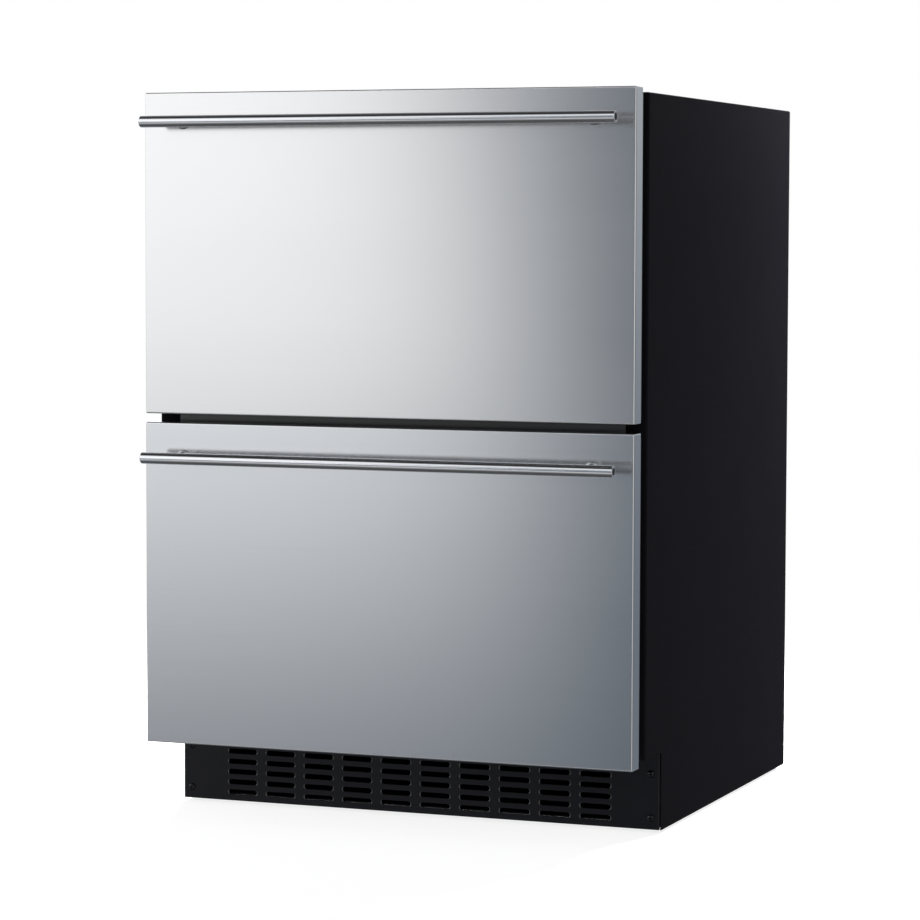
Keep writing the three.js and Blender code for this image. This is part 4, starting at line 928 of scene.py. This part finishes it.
def levelling_foot(node):
    """Rubber pad, hexagonal nut and threaded stud."""
    box = Box(node)
    axis = moved(box.centre, 2, box.low.z)
    top = 2 * box.half.z / MM
    pad = revolve(mm((0, 0), (15.6, 0), (16.6, 0.5), (17, 1.6), (17, 3.6), (16.4, 4.6), (12, 6.2), (9, 6.9),
                     (0, 6.9)), 40, axis)
    seat, pitch = 11.6, 1.5
    nut = revolve(mm((0, 6.9), (8.3, 6.9), (9, 7.5), (9, seat - 0.5), (8.3, seat), (0, seat)), 6, axis)
    thread = [(0, seat - 0.2), (4.3, seat - 0.2)]
    for n in range(int((top - seat) / pitch) - 1):
        z = seat + n * pitch
        thread += [(4.25, z + 0.1), (4.95, z + 0.7), (4.95, z + 0.9), (4.25, z + 1.45)]
    thread += [(4, top - 0.4), (3.6, top), (0, top)]
    stud = revolve(mm(*thread), 24, axis)
    add_piece(node.replace("levelling_foot", "foot_pad"), pad, "foot_plastic", node, body=node)
    add_piece(node.replace("levelling_foot", "foot_stud"), joined(nut, stud), "slide_zinc", body=node,
              sharp=30)


# ---- Kick plate ----
def stadium(length, height):
    """Points round a slot with round ends."""
    steps, radius = 7, height / 2
    straight = length / 2 - radius
    points = []
    for side in (1, -1):
        for n in range(steps + 1):
            angle = math.pi * (n / steps - side / 2)
            points.append((side * straight + radius * math.cos(angle), radius * math.sin(angle)))
    return points


def rolled_slot(grown):
    """A kick plate slot's outline, grown more at its ends than along its long edges."""
    length, height = SLOT_SIZE
    return stadium(length + 2 * grown, height + 2 * SLOT_ROLL * grown)


def kick_plate():
    """Folded sheet with a grid of slots, and their rolled edges."""
    low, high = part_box("kick_plate")
    plate = block(low, high, 0.9 * MM, 4)
    past = 0.01
    hollow = block((low.x - past, low.y + KICK_SHEET, low.z - past),
                   (high.x + past, high.y + past, high.z - KICK_SHEET), 0.5 * MM, 2)
    lowest_row = low.z + 10.5 * MM
    centre = (0, low.y, lowest_row + (SLOT_GRID[1] - 1) * SLOT_GRID[3] / 2)
    roll = [(SLOT_ROUND * (1 - math.sin(a)), SLOT_ROUND * (1 - math.cos(a))) for a in quarter(5)]
    tool = [(1.3 * SLOT_ROUND, -0.3 * SLOT_ROUND), *roll, (0, 3 * MM + SLOT_ROUND)]
    slot = loft([(rolled_slot(grown), y) for grown, y in tool], "Y")
    grille = slots_through(cut(plate, hollow), slot, SLOT_GRID, centre, "black_paint")
    add_piece("toe_grille", grille, "black_paint", "kick_plate", finish="toe_black")
    rim = [(grown - 0.06 * MM, y - 0.04 * MM) for grown, y in roll]
    rim += [(0.1 * MM, SLOT_ROUND), (SLOT_ROUND, 0.2 * MM)]
    edge = loft([(rolled_slot(grown), y) for grown, y in rim], "Y", closed=True)
    edges = on_a_grid(edge, SLOT_GRID, centre, "black_paint")
    add_piece("toe_grille_slot_edges", edges, "black_paint", finish="slot_edge", sharp=60)


# ---- Cooling ----
def finned_coil(node, across, fin_gap, rows, columns):
    """Thin fins on a coil of tube with return bends and an end plate at each side.

    across is the axis along the tubes, 0 for X and 1 for Y."""
    box = Box(node)
    low, high = box.low, box.high
    bend, tube_size = 12 * MM, 7 * MM
    first, last = low[across] + bend, high[across] - bend
    count = round((last - first) / fin_gap)

    def sheet(place, half, *edge):
        return block(moved(low, across, place - half), moved(high, across, place + half), *edge)

    step = moved(Vector(), across, (last - first) / count)
    start = moved(Vector(), across, first)
    fins = on_a_line(sheet(0, 0.15 * MM), count + 1, step, start, "fin_aluminium")
    plates = [sheet(place, 0.7 * MM, 0.3 * MM, 2) for place in (first, last)]
    add_piece(f"{node}_fins", joined(fins, *plates), "fin_aluminium", node)
    points = []
    reach = (low[across] + tube_size / 2, high[across] - tube_size / 2)
    for column in range(columns):
        for row in range(rows)[::-1 if column % 2 else 1]:
            spot = Vector((0, 0, low.z + 2 * box.half.z * (row + 0.5) / rows))
            spot[1 - across] = low[1 - across] + 2 * box.half[1 - across] * (column + 0.5) / columns
            ends = reach if (row + column * rows) % 2 == 0 else reach[::-1]
            points += [moved(spot, across, end) for end in ends]
    add_piece(f"{node}_coil", tube(points, tube_size, 11 * MM), "copper_tube")


def refrigerant_line():
    """Copper tube from the compressor, over the drain pan and the fan, down onto the condenser."""
    box = Box("refrigerant_line")
    start_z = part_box("compressor")[0].z + 88.3 * MM
    top, left, rise = box.high.z - 4 * MM, box.low.x + 4 * MM, box.high.x - 36 * MM
    route = [(box.high.x, start_z), (rise, start_z), (rise, top), (left, top), (left, box.low.z)]
    points = [(x, box.centre.y, z) for x, z in route]
    add_piece("hot_gas_line", tube(points, 8 * MM, 16 * MM, 20), "copper_tube", "refrigerant_line")


def compressor():
    """Hermetic shell with a welded seam, on a sprung plate with rubber feet."""
    box = Box("compressor")
    axis = moved(box.centre, 2, box.low.z)
    r, dome = 62.7, 49.5
    base = 2 * box.half.z / MM - dome
    profile = [(0, 12), (48, 12), (56, 15), (61, 22), (r, 32), (r, 83), (r + 1, 84.6), (r + 3.2, 85.4),
               (r + 3.3, 86.6), (r + 3.3, 89.6), (r + 2.6, 90.8), (r + 0.6, 91.6), (r - 0.6, 93)]
    profile += [((r - 0.8) * math.cos(a) ** 0.8, base + dome * math.sin(a)) for a in quarter(12)[:-1]]
    shell = revolve(mm(*profile, (0, base + dome)), 72, axis)
    outline = rectangle(69 * MM, 66 * MM, 8 * MM, 6, (axis.x, axis.y))
    plate = softened(prism(outline, "Z", box.low.z + 11 * MM, box.low.z + 14 * MM), 0.5 * MM)
    add_piece("compressor_shell", joined(shell, plate), "compressor_black", "compressor")
    stubs = []
    for angle, height in ((-70, 120), (-40, 122)):
        out = Vector((math.cos(math.radians(angle)), math.sin(math.radians(angle)), 0))
        foot = axis + out * (r - 3) * MM + UP * height * MM
        bend = foot + out * 9 * MM
        stubs.append(tube([foot, bend, bend + UP * 26 * MM], 6 * MM, 5 * MM))
    add_piece("compressor_stubs", joined(*stubs), "copper_tube")
    foot = mm((0, 0), (7, 0), (7.6, 1), (7.6, 3), (5.6, 4), (5.6, 5.5), (7.6, 6.5), (7.6, 9), (6, 10.9),
              (0, 10.9))
    feet = [revolve(foot, 24, axis + Vector((x, y, 0)) * MM) for x in (-56, 56) for y in (-53, 53)]
    add_piece("compressor_feet", joined(*feet), "foot_plastic")
    side = axis + Vector((r - 4, 0, 46)) * MM
    cover = block(side + Vector((0, -24, 0)) * MM, side + Vector((22, 24, 44)) * MM, 4 * MM, 5)
    add_piece("compressor_terminals", cover, "black_plastic")


def drain_pan():
    add_piece("drip_tray", tub(Box("drain_pan"), 2, 8, 6, 5), "black_plastic", "drain_pan")


def fan(name, axis, radius):
    """Square frame with a round mouth, three arms and a motor; seven swept, twisted blades."""
    depth = 18
    turn = facing(Box(f"{name}_frame").centre - axis * depth * MM / 2, axis)
    half, hole, lip = radius + 4, radius - 1.5, radius + 1.5
    square = rectangle(half * MM, half * MM, 4 * MM)
    body = softened(prism(square, "Z", 0, depth * MM), 0.6 * MM)
    mouth = mm((0, -1), (lip, -1), (lip, 0.2), (radius, 2.4), (radius, depth - 2.4), (lip, depth - 0.2),
               (lip, depth + 1), (0, depth + 1))
    drill = mm((0, 0), (1.9, 0), (1.9, 20), (0, 20))
    holes = [revolve(drill, 16, Vector((x, y, -1)) * MM) for x in (-hole, hole) for y in (-hole, hole)]
    arm = block(*mm((8, -2.5, 0), (lip, 2.5, 2.6)), 0.8 * MM, 3)
    parts = [cut(body, revolve(mouth, 64), *holes), *spokes(arm, 3, math.pi / 2)]
    motor = mm((0, 0), (13, 0), (14, 1), (14, 8.4), (13.4, 9), (2, 9), (2, 13.6), (0, 13.6))
    housing = joined(*parts, revolve(motor, 40))
    housing.transform(turn)
    add_piece(f"{name}_housing", housing, "black_plastic", f"{name}_frame")

    start, top = 9.6, 17.7
    hub = mm((2.3, start), (13.4, start), (14, start + 0.6), (14, top - 2), (13.4, top - 0.8), (12, top),
             (0, top), (0, start + 4.6), (2.3, start + 4.6))
    blade = one_blade(13 * MM, (radius - 1.7) * MM, (start + top) / 2 * MM)
    impeller = joined(revolve(hub, 40, closed=True), *spokes(blade, 7))
    impeller.transform(turn)
    add_piece(f"{name}_impeller", impeller, "black_plastic", f"{name}_blade", body=f"{name}_blade")


def spokes(shape, count, start=0):
    """Copies of a shape round Z."""
    mesh = solid(shape)
    copies = [mesh.copy() for _ in range(count)]
    for n, copy in enumerate(copies):
        copy.transform(Matrix.Rotation(2 * math.pi * n / count + start, 4, "Z"))
    return copies


def one_blade(root, tip, middle):
    """A thin blade, twisted and swept towards its tip."""
    bm = bmesh.new()
    rows, across = 9, 7
    grid = []
    for i in range(rows):
        t = i / (rows - 1)
        radius = root + (tip - root) * t
        width = math.radians(40 - 6 * t)
        sweep = math.radians(16) * t ** 1.6
        rise = (6.6 - 1.2 * t) * MM
        line = []
        for j in range(across):
            s = j / (across - 1) - 0.5
            angle = sweep + s * width
            camber = 0.9 * MM * (1 - 4 * s * s)
            reach = radius * (1 - 0.06 * (2 * s) ** 4 * t)
            spot = (reach * math.cos(angle), reach * math.sin(angle), middle + s * rise + camber - 0.4 * MM)
            line.append(bm.verts.new(spot))
        grid.append(line)
    for a, b in zip(grid, grid[1:]):
        for j in range(across - 1):
            bm.faces.new((a[j], a[j + 1], b[j + 1], b[j]))
    return bake(bm, "SOLIDIFY", {"thickness": 1.1 * MM, "offset": 0})


def evaporator_cover():
    """Moulded cover with return-air slots and a ring grille over the fan."""
    low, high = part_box("evaporator_cover")
    mouth = moved(Box("evaporator_fan_frame").centre, 1, low.y)
    hole = revolve(mm((0, -5), (42, -5), (42, 5), (0, 5)), 64, mouth, BACK)
    slot = prism(stadium(60 * MM, 8 * MM), "Y", -4 * MM, 4 * MM)
    columns, margin = 6, 68.7 * MM
    grid = (columns, 2, 2 * (high.x - margin) / (columns - 1), 0)
    plate = cut(block(low, high, 0.6 * MM, 3), hole)
    parts = [slots_through(plate, slot, grid, (0, low.y, low.z + 26 * MM), "liner_plastic")]
    for r in (10, 18, 26, 34):
        ring = mm((r - 1, 0.2), (r + 1, 0.2), (r + 1, 1.8), (r - 1, 1.8))
        parts.append(revolve(ring, 56, mouth, BACK, closed=True))
    for n in range(8):
        arm = solid(block(*mm((9.5, 0.2, -1), (43, 1.8, 1)), 0.3 * MM, 2))
        arm.transform(Matrix.Translation(mouth) @ Matrix.Rotation(math.pi * n / 4, 4, "Y"))
        parts.append(arm)
    add_piece("fan_cover", joined(*parts), "liner_plastic", "evaporator_cover")


# ---- Controls and lamp ----
def controls():
    """Ceiling control box with a dark window and three push buttons."""
    low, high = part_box("control_housing")
    middle = (low.z + high.z) / 2
    buttons = {n: Box(f"control_button_{n}") for n in (1, 2, 3)}
    well = mm((0, -1), (5.6, -1), (4.8, 0.6), (4.8, 6.2), (0, 6.2))
    wells = [revolve(well, 32, moved(button.centre, 1, low.y), BACK) for button in buttons.values()]

    def window(play, front, back, edge):
        """The window's opening or, with some play round it, its pane. All sizes are in mm."""
        corner, start, end, half = Vector((low.x, low.y, middle)), 16 + play, 92 - play, 7 - play
        return block(corner + Vector((start, front, -half)) * MM, corner + Vector((end, back, half)) * MM,
                     edge * MM, 2)

    body = softened(block(low, high, 3 * MM, 5), 0.2 * MM)
    housing = cut(body, *wells, window(0, -10, 0.9, 0.4))
    add_piece("control_box", housing, "black_plastic", "control_housing")
    add_piece("control_window", window(0.4, 0.1, 1.1, 0.3), "black_plastic")
    cap = mm((0, 0.5), (2, 0.35), (3.4, 0), (4, 0.1), (4.5, 0.7), (4.5, 6), (0, 6))
    for n, button in buttons.items():
        node = f"control_button_{n}"
        shape = revolve(cap, 40, moved(button.centre, 1, button.low.y), BACK)
        add_piece(f"push_button_{n}", shape, "button_white", node, body=node, sharp=50)


def lamp():
    """Light bar with a ribbed lens between two end caps."""
    low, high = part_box("lamp")
    cap = 9 * MM
    lens = block((low.x + cap / 2, low.y, low.z + 0.6 * MM), (high.x - cap / 2, high.y, high.z), 1.6 * MM, 4)
    half, end, height = 0.6 * MM, 1.5 * MM, 1.6 * MM
    rib = block((-half, low.y + end, low.z), (half, high.y - end, low.z + height), 0.5 * MM, 2)
    count, margin = 94, cap + 1 * MM
    step = (high.x - low.x - 2 * margin) / (count - 1)
    ribs = on_a_line(rib, count, (step, 0, 0), (low.x + margin, 0, 0), "lamp_lens")
    add_piece("lamp_bar", joined(lens, ribs), "lamp_lens", "lamp")
    ends = [block(moved(low, 0, x), moved(high, 0, x + cap), 1.2 * MM, 3) for x in (low.x, high.x - cap)]
    add_piece("lamp_caps", joined(*ends), "liner_plastic")


# ---- Stage: a pale floor, a white surround and soft light ----
def staged(name, shape, dress):
    """A piece of the stage, unseen in reflections, with the shader that dress(tree) returns."""
    piece = in_scene(name, solid(shape))
    finish = bpy.data.materials.new(name)
    finish.use_nodes = True
    tree = Tree(finish.node_tree)
    tree.tree.nodes.remove(tree.tree.nodes["Principled BSDF"])
    tree.feed(tree.tree.nodes["Material Output"].inputs["Surface"], dress(tree))
    piece.data.materials.append(finish)
    piece.visible_glossy = False
    return piece


def floor_shader(tree):
    """Pale and matt near the object, fading to the white of the surround."""
    spot = tree.node("ShaderNodeTexCoord", {}, {}, "Object")
    reach = tree.node("ShaderNodeVectorMath", {"operation": "LENGTH"}, {0: spot}, "Value")
    matt = tree.node("ShaderNodeBsdfDiffuse", {}, {"Color": (0.42, 0.42, 0.42)})
    near = tree.node("ShaderNodeAddShader", {}, {0: matt, 1: tree.glow(0.82)})
    return tree.node("ShaderNodeMixShader", {}, {0: tree.smooth(reach, 0.7, 2.2), 1: near, 2: tree.glow(1)})


def stage():
    staged("floor", block((-30, -30, -0.05), (30, 30, 0)), floor_shader)
    surround = staged("surround", block((-28, -28, -1), (28, 28, 20)), lambda tree: tree.glow(1))
    for ray in ("diffuse", "shadow", "transmission"):
        setattr(surround, f"visible_{ray}", False)


def studio_light():
    """Large soft boxes round the object, as brightness by direction in degrees."""
    world = bpy.data.worlds.new("studio")
    bpy.context.scene.world = world
    world.use_nodes = True
    tree = Tree(world.node_tree)
    direction = tree.node("ShaderNodeTexCoord", {}, {}, "Generated")
    split = tree.node("ShaderNodeSeparateXYZ", {}, {0: direction})
    x, y, z = (Socket(tree, output) for output in split.output.node.outputs)
    degrees = 180 / math.pi
    left = x.math("ARCTAN2", -x, -y) * degrees  # 0 in front of the object, 90 on its left
    behind = x.math("ARCTAN2", -x, y) * degrees  # 0 behind it, 90 on its left
    rise = z.math("ARCSINE", z) * degrees

    def above(value, edge, softness):
        return tree.smooth(value, edge - softness, edge + softness)

    def between(value, low, high, low_soft, high_soft):
        return above(value, low, low_soft) * (1 - above(value, high, high_soft))

    # The key light, whose slanting near edge shades the fronts from left to right.
    key = between(left - 0.185 * rise, 20.4, 90, 0.5, 15) * between(rise, -5.75, 40, 6.3, 12)
    # A strip over the front and a patch under it, for the two bands of light on the bars.
    front_top = between(left, -55, 110, 12, 15) * between(rise, 16, 44, 6, 6)
    front_foot = between(left, 10, 40, 6, 8) * between(rise, -34, -17, 8, 4)
    right = between(left, -62, -10, 6, 5) * between(rise, -10, 40, 10, 12)
    # Behind, brighter on the left and above the horizon, for the top edges and the returns.
    rear = between(behind, -64, 70, 14, 14) * (1 - above(rise, 34, 8)) * (1 + 1.7 * above(behind, 3, 9))
    rear = rear * (0.18 * above(rise, -22, 8) + 0.34 * above(rise, 0, 7))
    high_rear = between(behind, -80, 80, 14, 14) * between(rise, 34, 62, 6, 8)
    ground = (0.3 + 0.7 * above(rise, -50, 8)) * (1 - tree.smooth(rise, -24, -8))
    # Beside the key, so that the fronts stay light from other sides.
    beside = between(left, -95, 9, 12, 5) + between(left, 40, 100, 5, 12)
    fill = beside * between(rise, -28, 40, 8, 12)
    lamp_spot = tree.smooth(abs(-33 - left) + abs(rise - 33), 7, 5)

    boxes = (0.01 + 1.55 * key).at_least(front_top).at_least(0.42 * fill).at_least(0.95 * right)
    light = boxes + rear + 0.22 * high_rear + 0.5 * front_foot + 0.3 * ground
    light = light + 0.07 * tree.smooth(rise, 50, 80) + 6 * lamp_spot
    # A cool tint in front, outside the key, and low behind.
    cool = between(left, 12, 38, 4, 6) * between(rise, -16, 30, 4, 10)
    cool = (cool + between(behind, -50, 50, 10, 10) * (1 - above(rise, 30, 8))) * (1 - key)
    colour = tree.node("ShaderNodeCombineColor", {}, {
        "Red": light, "Green": light + 0.03 * cool, "Blue": light + 0.07 * cool})
    tree.feed(tree.tree.nodes["Background"].inputs["Color"], colour)
    for side in (-1, 1):
        side_light(side)


def side_light(side):
    """A lamp for the cabinet's side, unseen in reflections."""
    data = bpy.data.lights.new("side_light", "AREA")
    data.size, data.energy = 0.4, 68
    light = in_scene("side_light", data)
    place, target = Vector((0.5 * side, 1.0, 1.0)), Vector((0.3 * side, 0.3, 0.3))
    turn = (target - place).to_track_quat("-Z", "Y").to_matrix().to_4x4()
    light.matrix_world = Matrix.Translation(place) @ turn
    light.visible_glossy = False


def camera():
    data = bpy.data.cameras.new("camera")
    data.sensor_width = SENSOR
    data.lens = FOCAL_PIXELS * SENSOR / IMAGE_SIDE
    data.clip_start, data.clip_end = 0.05, 100
    eye = in_scene("camera", data)
    ahead = Vector((-math.sin(CAMERA_YAW) * math.cos(CAMERA_PITCH),
                    math.cos(CAMERA_YAW) * math.cos(CAMERA_PITCH), -math.sin(CAMERA_PITCH)))
    turn = ahead.to_track_quat("-Z", "Y").to_matrix() @ Matrix.Rotation(CAMERA_ROLL, 3, "Z")
    eye.matrix_world = Matrix.Translation(CAMERA_PLACE) @ turn.to_4x4()
    bpy.context.scene.camera = eye


def dress_nodes():
    """Gives every CAD node that stays its finish."""
    for row in frame["record"]["subparts"]:
        mesh = nodes[row["node"]].data
        mesh.materials.clear()
        mesh.materials.append(FINISHES[row["material_slot"]])


camera()
dress_nodes()
for level in ("upper", "lower"):
    front_skin(level)
    inner_panel(level)
    seal(level)
    handle_bar(level)
    bin_tub(level)
    for side in ("left", "right"):
        handle_post(level, side)
        slide(level, side)
        kick_screw(level, side)
cabinet_shell()
back_panel()
rear_cover()
power_inlet()
mullion()
liner()
base_pan()
for foot_node in FEET:
    levelling_foot(foot_node)
kick_plate()
finned_coil("condenser", 1, 2.6 * MM, 6, 2)
finned_coil("evaporator", 0, 4.5 * MM, 6, 1)
refrigerant_line()
compressor()
drain_pan()
fan("condenser_fan", RIGHT, 60)
fan("evaporator_fan", -BACK, 42)
evaporator_cover()
controls()
lamp()
stage()
studio_light()
bpy.context.scene.view_settings.view_transform = "Standard"
